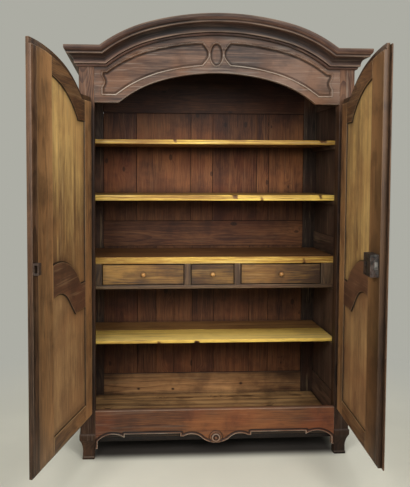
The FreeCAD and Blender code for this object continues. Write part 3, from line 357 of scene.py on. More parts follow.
def makeWood(name, look):
    # dark to light by streaks, patches, fibre, rings and the board's tone, then the layers over it, grime
    # with painted shade and wear with painted highlights among them, then the dirt and painted shade that darken
    # them all
    finish, wires = newFinish(name)
    grain = wires.add("Attribute", {"attribute_name": "grain"}).outputs["Vector"]
    tone, wearAndHighlight, dirtAndShade = (
        wires.add("Attribute", {"attribute_name": label}).outputs["Fac"]
        for label in ("tone", "wearAndHighlight", "dirtAndShade")
    )
    place = wires.add("TexCoord").outputs["Object"]
    rings = {"Ring_Width": look["ringWidth"], "Waviness": look["waviness"], "Knots": look["knots"]}
    figure = wires.add("Group", {"node_tree": woodFigure}, Grain=grain, **rings).outputs
    age = addAge(wires, place, look)
    share = 0.5
    for label in ("Streaks", "Patches", "Fibre"):
        share = wires.timesPlus(wires.minus(figure[label], 0.5), look[label.lower()], share)
    share = wires.timesPlus(figure["Rings"], -look["rings"], share)
    share = wires.plus(wires.minus(tone, 0.5), share, clamp=True)
    colour = wires.mix(share, paint(look["dark"]), paint(look["light"]))
    blush = wires.band(wires.noise(place, look["blushPatches"]), *look["blushed"])
    wearAndHighlight = wires.times(wearAndHighlight, look["paleMarking"])
    colour = wires.layered(colour, look, [
        ("blush", wires.times(blush, look["blushing"])),
        ("stain", wires.times(age["Stain"], look["staining"])),
        ("paleWearAndHighlight", wires.times(figure["Rubs"], look["rubs"])),
        ("knot", wires.times(figure["Knot"], look["knotting"])),
        ("grimeAndShade", wires.times(age["GrimeAndShade"], look["grimeAndShading"])),
        ("paleWearAndHighlight", wires.timesPlus(age["Wear"], look["wearing"], wearAndHighlight, clamp=True)),
    ])
    colour = wires.mix(dirtAndShade, colour, paint(look["shadeAndDirt"]), "MULTIPLY")
    rough = wires.timesPlus(figure["Fibre"], look["fibreRough"], look["rough"] - look["fibreRough"] / 2)
    rough = wires.timesPlus(age["GrimeAndShade"], look["grimeRough"], rough)
    relief = wires.times(figure["Fibre"], look["fibreRelief"])
    relief = wires.timesPlus(figure["Rings"], -look["ringRelief"], relief)
    bump = wires.add("Bump", Strength=1.0, Distance=look["relief"], Height=relief).outputs["Normal"]
    skin = wires.add(
        "BsdfPrincipled", Base_Color=colour, Roughness=rough, Normal=bump,
        Coat_Weight=look["wax"], Coat_Roughness=look["waxRough"], Specular_IOR_Level=look["shine"])
    wires.add("OutputMaterial", Surface=skin.outputs[0])
    return finish


metalFigure = {  # each noise is its waves to the metre, detail and roughness
    "mottle": (60, 4.0, 0.6),
    "mottled": (0.38, 0.62),
    "speck": (420, 3.0, 0.6),
    "speckled": (0.4, 0.6, 0.6, 1.0),
    "rust": (28, 4.0, 0.7),
    "rusted": (0.48, 0.62),
    "grimeAndShading": 0.8,
    "speckRough": 0.3,
    "rustRough": 0.25,
    "mottleRelief": 0.5,
    "speckRelief": 0.3,
    "relief": 0.8 * mm,
    "rustDulling": -0.7,
}


def makeMetal(name, look):
    # old forged metal: soft mottling, rust over broad patches, grime and painted shade in the hollows, bright worn
    # edges
    finish, wires = newFinish(name)
    place = wires.add("TexCoord").outputs["Object"]
    age = addAge(wires, place, look)
    figure = metalFigure
    mottle, speck, rust = (wires.noise(place, *figure[key]) for key in ("mottle", "speck", "rust"))
    rust = wires.times(wires.band(rust, *figure["rusted"]), look["rusting"])
    rust = wires.times(rust, wires.band(speck, *figure["speckled"]))
    mottled = wires.band(mottle, *figure["mottled"])
    colour = wires.mix(mottled, paint(look["dark"]), paint(look["light"]))
    colour = wires.layered(colour, look, [
        ("rust", rust),
        ("grimeAndShade", wires.times(age["GrimeAndShade"], figure["grimeAndShading"])),
        ("paleWearAndHighlight", wires.times(age["Wear"], look["wearing"])),
    ])
    rough = wires.timesPlus(speck, figure["speckRough"], look["rough"] - figure["speckRough"] / 2)
    rough = wires.timesPlus(rust, figure["rustRough"], rough, clamp=True)
    relief = wires.timesPlus(mottle, figure["mottleRelief"], wires.times(speck, figure["speckRelief"]))
    bump = wires.add("Bump", Strength=1.0, Distance=figure["relief"], Height=relief).outputs["Normal"]
    metallic = wires.timesPlus(rust, figure["rustDulling"], look["metallic"], clamp=True)
    skin = wires.add("BsdfPrincipled", Base_Color=colour, Roughness=rough, Metallic=metallic, Normal=bump)
    wires.add("OutputMaterial", Surface=skin.outputs[0])
    return finish


def signedVolume(points, quads, caps):
    # sum of the tetrahedra from the origin to every face
    split = [quads[:, [0, 1, 2]], quads[:, [0, 2, 3]]]
    split += [np.stack([np.full(len(cap) - 2, cap[0]), cap[1:-1], cap[2:]], axis=1) for cap in caps]
    a, b, c = (points[np.concatenate(split)][:, k] for k in range(3))
    return np.einsum("ij,ij->i", a, np.cross(b, c)).sum()


def makePiece(name, parts, finish, slot, body, *nodes, sharp=34):
    # each part is a tube: sections of equal point count, joined in order and closed by a face at both ends
    quads, ends = [], []
    base = 0
    for part in parts:
        rings = part["points"]
        count, around = rings.shape[:2]
        index = base + np.arange(count * around).reshape(count, around)
        path = np.vstack([index, index[:1]]) if part["endless"] else index
        after = np.roll(path, -1, axis=1)
        sides = stacked(path[:-1], after[:-1], after[1:], path[1:]).reshape(-1, 4)
        caps = [] if part["endless"] else [index[0][::-1], index[-1]]
        local = rings.reshape(-1, 3) - rings.reshape(-1, 3).mean(0)
        if signedVolume(local, sides - base, [cap - base for cap in caps]) < 0:
            sides, caps = sides[:, ::-1], [cap[::-1] for cap in caps]
        quads.append(sides)
        ends += caps
        base += count * around
    points = np.concatenate([part["points"].reshape(-1, 3) for part in parts])
    quads = np.concatenate(quads)
    loops = np.concatenate([quads.ravel(), *ends])
    sizes = np.concatenate([np.full(len(quads), 4), [len(cap) for cap in ends]]).astype(int)
    starts = np.concatenate([[0], np.cumsum(sizes)[:-1]])
    mesh = bpy.data.meshes.new(name)
    mesh.vertices.add(len(points))
    mesh.vertices.foreach_set("co", points.astype(np.float32).ravel())
    mesh.loops.add(len(loops))
    mesh.loops.foreach_set("vertex_index", loops.astype(np.int32))
    mesh.polygons.add(len(sizes))
    mesh.polygons.foreach_set("loop_start", starts.astype(np.int32))
    mesh.polygons.foreach_set("use_smooth", np.ones(len(sizes), bool))
    for label in ("grain", "tone", "wearAndHighlight", "dirtAndShade"):
        kind, key, extra = ("FLOAT_VECTOR", "vector", (3,)) if label == "grain" else ("FLOAT", "value", ())
        values = [np.broadcast_to(part[label], part["points"].shape[:2] + extra) for part in parts]
        attribute = mesh.attributes.new(label, kind, "POINT")
        attribute.data.foreach_set(key, np.concatenate([v.ravel() for v in values]).astype(np.float32))
    mesh.update(calc_edges=True)
    mesh.set_sharp_from_angle(angle=math.radians(sharp))
    mesh.materials.append(finishes[finish])
    piece = bpy.data.objects.new(name, mesh)
    bpy.context.scene.collection.objects.link(piece)
    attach(piece, body)
    if nodes:
        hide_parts(*nodes)
    return piece


def draws(seed):
    return np.random.default_rng(seed)


def ripple(place, seed, length):
    # four sines of falling length and height, so between about -1 and 1
    draw = draws(seed)
    total = 0
    for order in range(1, 5):
        turn = draw.uniform(0, 2 * math.pi)
        total = total + np.sin(place * 2 * math.pi * order / length * draw.uniform(0.8, 1.2) + turn) / order
    return total / 2.08


def grainOf(points, along, across, seed):
    # coordinates along the grain, across it and into the board, shifted so that each board is its own cut
    draw = draws(seed)
    shift = np.array([draw.uniform(3, 40), draw.uniform(-0.03, 0.03), draw.uniform(0.03, 0.12)])
    middle = points.reshape(-1, 3).mean(0)
    middle[along] = 0
    return (points - middle)[..., [along, across, 3 - along - across]] + shift


def partOf(points, grain, tone=0.5, wearAndHighlight=0.0, dirtAndShade=0.0, endless=False):
    # shades go from 0 to 1: the tone dark to light, the pale marks of wear and painted highlights, and the
    # darkening of dirt and painted shade
    shades = {"tone": tone, "wearAndHighlight": wearAndHighlight, "dirtAndShade": dirtAndShade}
    return {"points": points, "grain": grain, "endless": endless, **shades}


def roundedLoop(halfWide, halfDeep, radius, inset=0.0):
    # a rectangle with an arc at each corner, anticlockwise, with a point on either side of each arc
    # that keeps the flat faces flat
    turns = np.radians([0, 30, 60, 90])
    arc = stacked(np.cos(turns), np.sin(turns)) * (radius - inset)
    slack = min(0.8 * radius, 0.3 * (min(halfWide, halfDeep) - radius) * 2)
    corner = np.vstack([arc[:1] - [0, slack], arc, arc[-1:] - [slack, 0]])
    loop = []
    for quarter in range(4):
        c, s = round(math.cos(quarter * math.pi / 2)), round(math.sin(quarter * math.pi / 2))
        reach = [halfWide - radius, halfDeep - radius]
        spot = corner + (reach[::-1] if quarter % 2 else reach)
        loop.append(stacked(spot[:, 0] * c - spot[:, 1] * s, spot[:, 0] * s + spot[:, 1] * c))
    return np.vstack(loop)


def boardPart(low, high, along, across, seed, radius=2 * mm, tone=0.5, sway=0.5 * mm, step=0.11):
    # rounded rectangles carried along the board, drawn in at both ends, with edges that wander inward
    low, high = np.array(low, float), np.array(high, float)
    deep = 3 - along - across
    size, middle = high - low, (low + high) / 2
    radius = min(radius, 0.4 * size.min())
    turns = np.radians([10, 30, 60, 90])
    tip = radius * (1 - np.cos(turns))
    inset = radius * (1 - np.sin(turns))
    count = max(2, int(size[along] / step))
    inner = np.linspace(radius * 2, size[along] - radius * 2, count)
    places = np.concatenate([tip, inner, size[along] - tip[::-1]])
    insets = np.concatenate([inset, np.zeros(count), inset[::-1]])
    loops = np.array([roundedLoop(size[across] / 2, size[deep] / 2, radius, value) for value in insets])
    spread = loops[..., 0] / (size[across] / 2)
    one, two = (1 + ripple(places, seed + more, 0.7)[:, None] for more in (3, 5))
    wander = np.where(spread > 0, -one, two) * sway / 2 * np.abs(spread)
    points = np.zeros((*loops.shape[:2], 3))
    points[..., along] = (low[along] + places)[:, None]
    points[..., across] = middle[across] + loops[..., 0] + wander
    points[..., deep] = middle[deep] + loops[..., 1]
    return partOf(points, grainOf(points, along, across, seed), tone)


def boxesOf(node):
    # the lowest and highest corner of each solid of a node whose solids are all plain boxes of 12 triangles
    mesh = frame["nodes"][node].data
    points = np.empty(len(mesh.vertices) * 3, np.float32)
    mesh.vertices.foreach_get("co", points)
    corners = np.empty(len(mesh.loops), np.int32)
    mesh.loops.foreach_get("vertex_index", corners)
    solids = points.reshape(-1, 3)[corners].reshape(-1, 36, 3).astype(float)
    return [(solid.min(0), solid.max(0)) for solid in solids]


def seedOf(name):
    # a whole number from the letters of a name and their places
    return sum(place * ord(letter) for place, letter in enumerate(name, start=1))


def boardsPiece(name, node, along, across, finish, slot, spread=0.12, marks=None, shadeBelow=0, **shape):
    # one board for each box of the node, with a tone of its own; marks gives its shades from its points
    # and box, and below the height given it is painted dark, a painted shade
    parts = []
    seed = seedOf(name)
    draw = draws(seed)
    for index, box in enumerate(boxesOf(node)):
        tone = 0.5 + draw.uniform(-spread, spread)
        part = boardPart(*box, along, across, seed + 17 * index, tone=tone, **shape)
        part["dirtAndShade"] = 0.97 * (part["points"][..., 2] < shadeBelow)
        if marks:
            part.update(marks(part["points"], *box))
        parts.append(part)
    return makePiece(name, parts, finish, slot, nodeBody[node], node)


# outlines in the plane of the front, as rows of x and z

def arcPoints(start, end, radius, bulge, step):
    # the short arc from start to end, bulging left of the way for 1 and right for -1
    start, end = np.array(start, float), np.array(end, float)
    chord = end - start
    length = np.hypot(*chord)
    left = np.array([-chord[1], chord[0]]) / length
    depth = math.sqrt(radius**2 - (length / 2) ** 2)
    centre = (start + end) / 2 - left * bulge * depth
    half = math.asin(length / 2 / radius)
    count = max(2, int(2 * half * radius / step))
    first = math.atan2(*(start - centre)[::-1])
    angles = first - bulge * np.linspace(0, 2 * half, count + 1)
    return centre + radius * stacked(np.cos(angles), np.sin(angles))


def trace(corners, step=8 * mm, closed=True):
    # a polyline through corners (x, z), where a corner (x, z, radius, bulge) starts an arc to the next
    line = []
    count = len(corners)
    for index in range(count if closed else count - 1):
        here, after = corners[index], corners[(index + 1) % count]
        if len(here) == 4:
            line.append(arcPoints(here[:2], after[:2], here[2], here[3], step)[:-1])
        else:
            line.append(np.array([here[:2]], float))
    if not closed:
        line.append(np.array([corners[-1][:2]], float))
    return np.vstack(line)


def lengthAlong(x, z):
    # how far each point of a polyline lies from the first, along it
    return np.concatenate([[0], np.cumsum(np.hypot(np.diff(x), np.diff(z)))])


def insetLine(line, distance):
    # the closed line moved to its left by distance, with mitred corners
    def leftOf(way):
        way = way / np.maximum(np.hypot(way[:, 0], way[:, 1]), 1e-9)[:, None]
        return stacked(-way[:, 1], way[:, 0])

    one, two = leftOf(line - np.roll(line, 1, axis=0)), leftOf(np.roll(line, -1, axis=0) - line)
    mitre = (one + two) / np.maximum(1 + (one * two).sum(1), 0.3)[:, None]
    return line + mitre * distance


def anticlockwise(line):
    # turned round where its area, half the sum of the cross products, is less than 0
    area = (line[:, 0] * np.roll(line[:, 1], -1) - np.roll(line[:, 0], -1) * line[:, 1]).sum()
    return line if area > 0 else line[::-1]


def distanceTo(line, x, z, closed=False):
    # the least distance from each place to the polyline's segments
    start = line if closed else line[:-1]
    end = np.roll(line, -1, axis=0) if closed else line[1:]
    best = np.full(x.shape, np.inf)
    for (ax, az), (bx, bz) in zip(start, end):
        dx, dz = bx - ax, bz - az
        share = np.clip(((x - ax) * dx + (z - az) * dz) / max(dx * dx + dz * dz, 1e-12), 0, 1)
        best = np.minimum(best, np.hypot(x - ax - share * dx, z - az - share * dz))
    return best


def inside(line, x, z):
    # True where a ray to the right crosses the closed polyline an odd number of times
    odd = np.zeros(x.shape, bool)
    for (ax, az), (bx, bz) in zip(line, np.roll(line, -1, axis=0)):
        crosses = (az > z) != (bz > z)
        reach = (bx - ax) * (z - az) / (bz - az if bz != az else 1e-12) + ax
        odd ^= crosses & (x < reach)
    return odd


def smooth(value, low, high):
    # 0 up to low, 1 from high on, and three times the square less twice the cube of the share between
    share = np.clip((value - low) / (high - low), 0, 1)
    return share * share * (3 - 2 * share)


def hump(value, half):
    # 1 at 0, falling as e to the minus square of value over half
    return np.exp(-((value / half) ** 2))


class BasketArch:
    # a three-centred arch over flat shoulders, and every line parallel to it
    def __init__(self, midRadius, endRadius, turn, half, spring):
        self.midRadius, self.endRadius, self.spring = midRadius, endRadius, spring
        self.turn = math.radians(turn)
        self.endCentreX = (midRadius - endRadius) * math.sin(self.turn)
        self.drop = math.sqrt(endRadius**2 - (half - self.endCentreX) ** 2)
        self.midCentreZ = spring - self.drop - (midRadius - endRadius) * math.cos(self.turn)

    def shoulder(self, offset):
        rise = self.drop + offset
        return self.endCentreX + math.sqrt((self.endRadius + offset) ** 2 - rise**2), self.spring + offset

    def turning(self, offset):
        radius = self.midRadius + offset
        return radius * math.sin(self.turn), self.midCentreZ + radius * math.cos(self.turn)

    def height(self, offset, x):
        # height of the parallel line over each place across
        x = np.abs(x)
        middle = self.midCentreZ + np.sqrt(np.maximum((self.midRadius + offset) ** 2 - x**2, 0))
        endCentreZ = self.spring - self.drop
        reach = np.maximum((self.endRadius + offset) ** 2 - (x - self.endCentreX) ** 2, 0)
        curve = np.where(x < self.turning(offset)[0], middle, endCentreZ + np.sqrt(reach))
        return np.where(x < self.shoulder(offset)[0], curve, self.spring + offset)

    def path(self, offset, step):
        # from the left shoulder to the right one
        (x, z), (turnX, turnZ) = self.shoulder(offset), self.turning(offset)
        end, middle = self.endRadius + offset, self.midRadius + offset
        corners = [(-x, z, end, 1), (-turnX, turnZ, middle, 1), (turnX, turnZ, end, 1), (x, z)]
        return trace(corners, step, closed=False)


carcass = {
    "openingHalf": 0.635,
    "postOuter": 0.714,
    "springHeight": 1.867,
    "archHalf": 0.512,
    "archRadii": (1.100, 0.598),  # of the middle arc and of the ends
    "crownHalf": 0.572,
    "crownFoot": 2.046,
    "crownRadii": (1.293, 0.638),
    "archTurn": 15,  # degrees over which the middle arc goes to each side
}
openingArch = BasketArch(
    *carcass["archRadii"], carcass["archTurn"], carcass["archHalf"], carcass["springHeight"])
crownArch = BasketArch(
    *carcass["crownRadii"], carcass["archTurn"], carcass["crownHalf"], carcass["crownFoot"])


def slabPart(xs, low, high, rows, front, thickness, arris, seed, marks, backRows=2, backMarks=None):
    # a board cut to low(x) and high(x): front(x, z) is how far the face lies behind y = 0, the back is
    # flat, both long edges are rounded by arris, and marks and backMarks give each face its shades
    edge = np.array([0, 0.3, 1, 2.2]) * arris
    drop = np.array([1, 0.3, 0, 0]) * arris
    low, high = np.broadcast_to(low, xs.shape)[:, None], np.broadcast_to(high, xs.shape)[:, None]
    share = np.linspace(0, 1, rows)[1:-1]
    inner = low + edge[-1] + share * (high - low - 2 * edge[-1])
    frontZ = np.hstack([low + edge, inner, high - edge[::-1]])
    share = np.linspace(1, 0, backRows)[1:-1]
    inner = low + edge[2] + share * (high - low - 2 * edge[2])
    backZ = np.hstack([high - edge[:3], inner, low + edge[:3][::-1]])
    frontX, backX = (np.broadcast_to(xs[:, None], z.shape) for z in (frontZ, backZ))
    frontY = front(frontX, frontZ) + np.concatenate([drop, np.zeros(rows - 2), drop[::-1]])
    backY = thickness - np.concatenate([drop[:3], np.zeros(backRows - 2), drop[:3][::-1]])
    backY = np.broadcast_to(backY, backZ.shape)
    points = stacked(xs[:, None], np.hstack([frontY, backY]), np.hstack([frontZ, backZ]))
    part = partOf(points, grainOf(points, axisX, axisZ, seed))
    for label in ("tone", "wearAndHighlight", "dirtAndShade"):
        faces = []
        for face, x, z in ((marks, frontX, frontZ), (backMarks or {}, backX, backZ)):
            faces.append(face[label](x, z) if label in face else np.full(x.shape, part[label]))
        part[label] = np.hstack(faces)
    return part


makeCamera(cameraView)

stageSetup = {
    "floor": (238, 235, 217),
    "background": (172, 172, 163),
    "ambient": 0.3,  # share of the background's light that reaches the object
    "mottle": (2.2, 4.0),  # scale and detail
    "mottling": (0.3, 0.7, 0.0, 0.12),
    "floorRough": 0.85,
    "shade": (58, 52, 46),  # in the lasting dark under the object
    "shadeHalf": (0.66, 0.29),
    "shadeMiddle": (0.0, 0.33),
    "shadeEdge": 0.07,
    "pool": (0.9, 2.3),  # where the floor begins to fade into the background, and where it has
    "floorHalf": 30,
}


def makeStage(setup):
    half = setup["floorHalf"]
    mesh = bpy.data.meshes.new("floor")
    mesh.from_pydata([(-half, -half, 0), (half, -half, 0), (half, half, 0), (-half, half, 0)], [],
                     [(0, 1, 2, 3)])
    floor = bpy.data.objects.new("floor", mesh)
    bpy.context.scene.collection.objects.link(floor)
    finish, wires = newFinish("floorPaint")
    background = paint(setup["background"])
    place = wires.add("TexCoord").outputs["Object"]
    away = wires.vector("LENGTH", wires.scaled(place, (1, 1, 0)))
    seen = wires.add("LightPath").outputs["Is Camera Ray"]
    mottle = wires.band(wires.noise(place, *setup["mottle"]), *setup["mottling"])
    colour = wires.mix(mottle, paint(setup["floor"]), background)
    split = wires.add("SeparateXYZ", Vector=place).outputs
    shares = []
    for axis, middle, reach in zip("XY", setup["shadeMiddle"], setup["shadeHalf"]):
        beyond = wires.minus(wires.math("ABSOLUTE", wires.minus(split[axis], middle)), reach)
        shares.append(wires.band(beyond, setup["shadeEdge"], -0.5 * setup["shadeEdge"]))
    colour = wires.mix(wires.times(*shares), colour, paint(setup["shade"]))
    matt = wires.add("BsdfPrincipled", Base_Color=colour, Roughness=setup["floorRough"])
    glow = wires.add("Emission", Color=background)
    blend = wires.add("MixShader", Fac=wires.times(wires.band(away, *setup["pool"]), seen))
    wires.feed(blend.inputs[1], matt.outputs[0])
    wires.feed(blend.inputs[2], glow.outputs[0])
    wires.add("OutputMaterial", Surface=blend.outputs[0])
    mesh.materials.append(finish)
    # the world shows the background colour to the camera and to gloss, and lights the rest softly
    world = bpy.data.worlds.new("studio")
    bpy.context.scene.world = world
    world.use_nodes = True
    world.node_tree.nodes.clear()
    wires = Wiring(world.node_tree)
    ray = wires.add("LightPath").outputs
    direct = wires.math("MAXIMUM", ray["Is Glossy Ray"], ray["Is Transmission Ray"])
    direct = wires.math("MAXIMUM", ray["Is Camera Ray"], direct)
    strength = wires.timesPlus(direct, 1 - setup["ambient"], setup["ambient"])
    sky = wires.add("Background", Color=background, Strength=strength)
    wires.add("OutputWorld", Surface=sky.outputs[0])


lamps = {
    "keyLeft": {"place": (-1.5, -2.7, 2.3), "aim": (0.1, 0.2, 1.2), "size": (1.2, 1.2), "watts": 60},
    "keyRight": {"place": (0.9, -2.9, 2.3), "aim": (-0.1, 0.2, 1.2), "size": (1.2, 1.2), "watts": 52},
    "top": {"place": (0.0, -1.2, 4.3), "aim": (0.0, 0.0, 1.6), "size": (2.4, 1.6), "watts": 32},
    "rear": {"place": (0.6, 4.6, 2.8), "aim": (0.0, 0.4, 1.1), "size": (2.6, 1.6), "watts": 110},
}


def makeLamp(name, setup):
    # its back axis points from what it is aimed at to its own place, and its right axis is level
    lamp = bpy.data.lights.new(name, "AREA")
    lamp.shape = "RECTANGLE"
    lamp.size, lamp.size_y = setup["size"]
    lamp.energy = setup["watts"]
    place, aim = np.array(setup["place"]), np.array(setup["aim"])
    back = (place - aim) / np.linalg.norm(place - aim)
    right = np.cross([0, 0, 1], back)
    right /= np.linalg.norm(right)
    stand(name, lamp, right, np.cross(back, right), back, place)


makeStage(stageSetup)
for lampName, lampSetup in lamps.items():
    makeLamp(lampName, lampSetup)
print("camera, stage and lamps")

woodLooks = {  # where each wood differs from plainLook
    "friezeWood": {
        "blush": (132, 84, 48), "blushing": 0.5, "stain": (44, 30, 24), "rubs": 0.14,
        "paleWearAndHighlight": (214, 202, 186), "wearing": 0.35, "fibre": 1.8, "rings": 0.2, "waviness": 0.4,
        "wax": 0.06, "shine": 0.25,
    },
    "postWood": {
        "light": (138, 100, 74), "dark": (62, 41, 31), "blush": (132, 82, 48), "stain": (50, 34, 27),
        "shadeAndDirt": (70, 69, 73), "paleWearAndHighlight": (196, 172, 150), "streaks": 1.6, "fibre": 1.5, "shine": 0.2,
    },
    "crownWood": {
        "light": (92, 65, 52), "dark": (26, 18, 15), "blush": (92, 54, 34), "stain": (26, 17, 14),
        "rubs": 0.14, "paleWearAndHighlight": (172, 146, 124), "wearing": 0.25, "fibre": 2.0, "wax": 0.04, "shine": 0.2,
    },
    "apronWood": {
        "light": (138, 86, 48), "dark": (67, 39, 25), "blush": (136, 64, 33), "blushing": 0.45,
        "stain": (52, 32, 23), "rubs": 0.06, "paleWearAndHighlight": (196, 182, 164), "wearing": 0.3, "streaks": 1.4,
        "patches": 1.8, "fibre": 1.6, "rings": 0.3, "waviness": 0.4, "wax": 0.06, "shine": 0.3,
    },
    "sideWood": {
        "light": (102, 78, 62), "dark": (50, 38, 31), "blush": (88, 60, 46), "stain": (34, 25, 21),
        "fibre": 1.6, "waviness": 0.5, "knots": 0.15, "wax": 0.08, "shine": 0.25,
    },
    "rearPostWood": {
        "light": (76, 60, 48), "dark": (38, 29, 24), "stain": (28, 21, 18), "knots": 0.15, "shine": 0.2,
    },
    "backWood": {
        "light": (168, 110, 66), "dark": (76, 43, 28), "blush": (132, 66, 36), "stain": (56, 34, 25),
        "paleWearAndHighlight": (168, 124, 84), "wearing": 0.15, "streaks": 1.0, "patches": 1.3, "fibre": 1.6,
        "rings": 0.3, "waviness": 0.4, "knots": 0.5, "rough": 0.65, "shine": 0.3,
    },
    "floorWood": {"light": (220, 176, 118), "dark": (98, 70, 46), "blush": (168, 118, 72), "knots": 0.3},
    "lowRailWood": {
        "light": (206, 156, 102), "dark": (104, 70, 46), "blush": (160, 112, 66), "stain": (66, 46, 36),
        "streaks": 1.8, "patches": 1.8, "fibre": 1.5, "rings": 0.3, "waviness": 0.3, "shine": 0.3,
    },
    "shelfWood": {
        "light": (255, 215, 102), "dark": (152, 110, 46), "blush": (228, 178, 78), "blushing": 0.25,
        "stain": (120, 82, 40), "staining": 0.2, "shadeAndDirt": (132, 106, 146), "paleWearAndHighlight": (250, 222, 150),
        "grimeAndShade": (70, 44, 22), "grimeAndShading": 0.5, "streaks": 3.0, "fibre": 2.4, "rings": 0.5,
        "waviness": 0.5, "wax": 0.03,
    },
    "caseWood": {"light": (112, 86, 60), "dark": (54, 39, 28), "knots": 0.15, "wax": 0.08},
    "rawWood": {"light": (150, 116, 78), "dark": (92, 66, 44), "knots": 0.15, "rough": 0.7},
    "drawerWood": {
        "light": (170, 126, 62), "dark": (62, 40, 24), "blush": (140, 88, 42), "paleWearAndHighlight": (192, 158, 106),
        "streaks": 1.3, "patches": 2.2, "fibre": 1.6, "rings": 0.35, "waviness": 0.5, "wax": 0.1,
    },
    "knobWood": {
        "light": (222, 168, 96), "dark": (160, 104, 54), "staining": 0.15, "rough": 0.38, "wax": 0.4,
    },
    "doorWood": {
        "light": (178, 132, 86), "dark": (78, 54, 38), "blush": (138, 90, 54), "stain": (56, 39, 28),
        "staining": 0.4, "paleWearAndHighlight": (200, 166, 120), "streaks": 1.2, "patches": 1.8, "fibre": 1.9,
        "rings": 0.35, "wax": 0.08, "shine": 0.3,
    },
    "doorRailWood": {
        "light": (112, 76, 54), "dark": (56, 36, 28), "blush": (96, 54, 38), "stain": (46, 30, 24),
        "paleWearAndHighlight": (176, 142, 104), "streaks": 1.3, "patches": 1.6, "rings": 0.25, "waviness": 0.4,
        "wax": 0.12,
    },
    "stripWood": {
        "light": (116, 84, 60), "dark": (46, 32, 23), "blush": (96, 64, 42), "stain": (40, 27, 19),
        "paleWearAndHighlight": (150, 124, 100), "fibre": 1.6, "wax": 0.04, "shine": 0.2,
    },
    "panelWood": {
        "light": (222, 183, 115), "dark": (108, 76, 50), "blush": (168, 120, 74), "blushing": 0.5,
        "stain": (100, 74, 50), "staining": 0.3, "paleWearAndHighlight": (216, 188, 136), "streaks": 1.5, "patches": 1.2,
        "fibre": 2.0, "rings": 0.3, "knots": 0.06, "wax": 0.06,
    },
    "lowerPanelWood": {
        "light": (192, 151, 102), "dark": (114, 82, 57), "blush": (150, 102, 66), "blushing": 0.5,
        "stain": (90, 65, 47), "staining": 0.3, "paleWearAndHighlight": (200, 168, 120), "streaks": 0.9, "patches": 1.2,
        "fibre": 1.8, "rings": 0.3, "waviness": 0.5, "wax": 0.06, "shine": 0.3,
    },
}
metalLooks = {  # colours and wear of each metal
    "forgedIron": {
        "light": (74, 71, 68), "dark": (36, 34, 33), "rust": (70, 44, 30), "rusting": 0.7,
        "grimeAndShade": (16, 14, 13), "paleWearAndHighlight": (150, 144, 136), "wearing": 0.8, "edgeReach": 1.6 * mm,
        "cornerReach": 8 * mm, "rough": 0.5, "metallic": 0.75,
    },
    "keeperIron": {
        "light": (68, 51, 40), "dark": (50, 37, 30), "rust": (62, 44, 33), "rusting": 1.0,
        "grimeAndShade": (30, 22, 17), "paleWearAndHighlight": (170, 158, 142), "wearing": 0.25, "edgeReach": 1.6 * mm,
        "cornerReach": 8 * mm, "rough": 0.6, "metallic": 0.35,
    },
    "boltSteel": {
        "light": (150, 147, 142), "dark": (98, 95, 91), "rust": (96, 66, 46), "rusting": 0.35,
        "grimeAndShade": (34, 30, 27), "paleWearAndHighlight": (200, 196, 188), "wearing": 0.7, "edgeReach": 1.2 * mm,
        "cornerReach": 8 * mm, "rough": 0.38, "metallic": 0.95,
    },
    "oldBrass": {
        "light": (168, 134, 78), "dark": (112, 84, 46), "rust": (74, 62, 40), "rusting": 0.5,
        "grimeAndShade": (40, 32, 20), "paleWearAndHighlight": (214, 184, 120), "wearing": 0.8, "edgeReach": 1.2 * mm,
        "cornerReach": 6 * mm, "rough": 0.36, "metallic": 0.9,
    },
}
finishes = {name: makeWood(name, {**plainLook, **look}) for name, look in woodLooks.items()}
finishes.update({name: makeMetal(name, look) for name, look in metalLooks.items()})
print("finishes")

metalOf = {  # nodes whose solids already have their shape
    "hinge_pintles": "forgedIron",
    "left_hinge_sockets": "forgedIron",
    "right_hinge_sockets": "forgedIron",
    "lock_case": "forgedIron",
    "lock_keeper": "keeperIron",
    "lock_bolt": "boltSteel",
    "escutcheon": "oldBrass",
}
for node, metal in metalOf.items():
    mesh = frame["nodes"][node].data
    mesh.materials.clear()
    mesh.materials.append(finishes[metal])

backShades = {
    # an even painted shade over the outside of the back
    "outside": 0.45,
    "joint": (3.2 * mm, 1 * mm),  # the dark line along the joints between the boards
    "jointSoil": 0.9,
    "most": 0.95,
    "zones": [  # foot, head, painted shade at the foot, painted shade added up to the head, and the heights where it grows
        (0.26, 0.57, 0.45, 0.3, (0.30, 0.545)),
        (0.58, 0.9, 0.0, 0.75, (0.40, 0.80)),
        (1.04, 1.375, 0.4, 0.25, (1.10, 1.372)),
        (1.375, 1.68, 0.0, 0.6, (1.60, 1.665)),
        (1.68, 3.0, 0.28, 0.67, (1.66, 2.0)),
    ],
}


def backMarks(points, low, high):
    # inside, painted shade that darkens nearer the shelf above; outside one even painted shade; dark along the
    # joints
    y, z = points[..., 1], points[..., 2]
    dirtAndShade = 0.0
    for foot, head, least, more, growth in backShades["zones"]:
        dirtAndShade = dirtAndShade + (least + more * smooth(z, *growth)) * (z > foot) * (z < head)
    dirtAndShade = np.where(y < (low[1] + high[1]) / 2, dirtAndShade, backShades["outside"])
    across = axisX if high[2] - low[2] > high[0] - low[0] else axisZ
    place = points[..., across]
    joint = smooth(np.minimum(place - low[across], high[across] - place), *backShades["joint"])
    dirtAndShade = np.maximum(dirtAndShade, backShades["jointSoil"] * joint)
    return {"dirtAndShade": np.clip(dirtAndShade, 0, backShades["most"])}


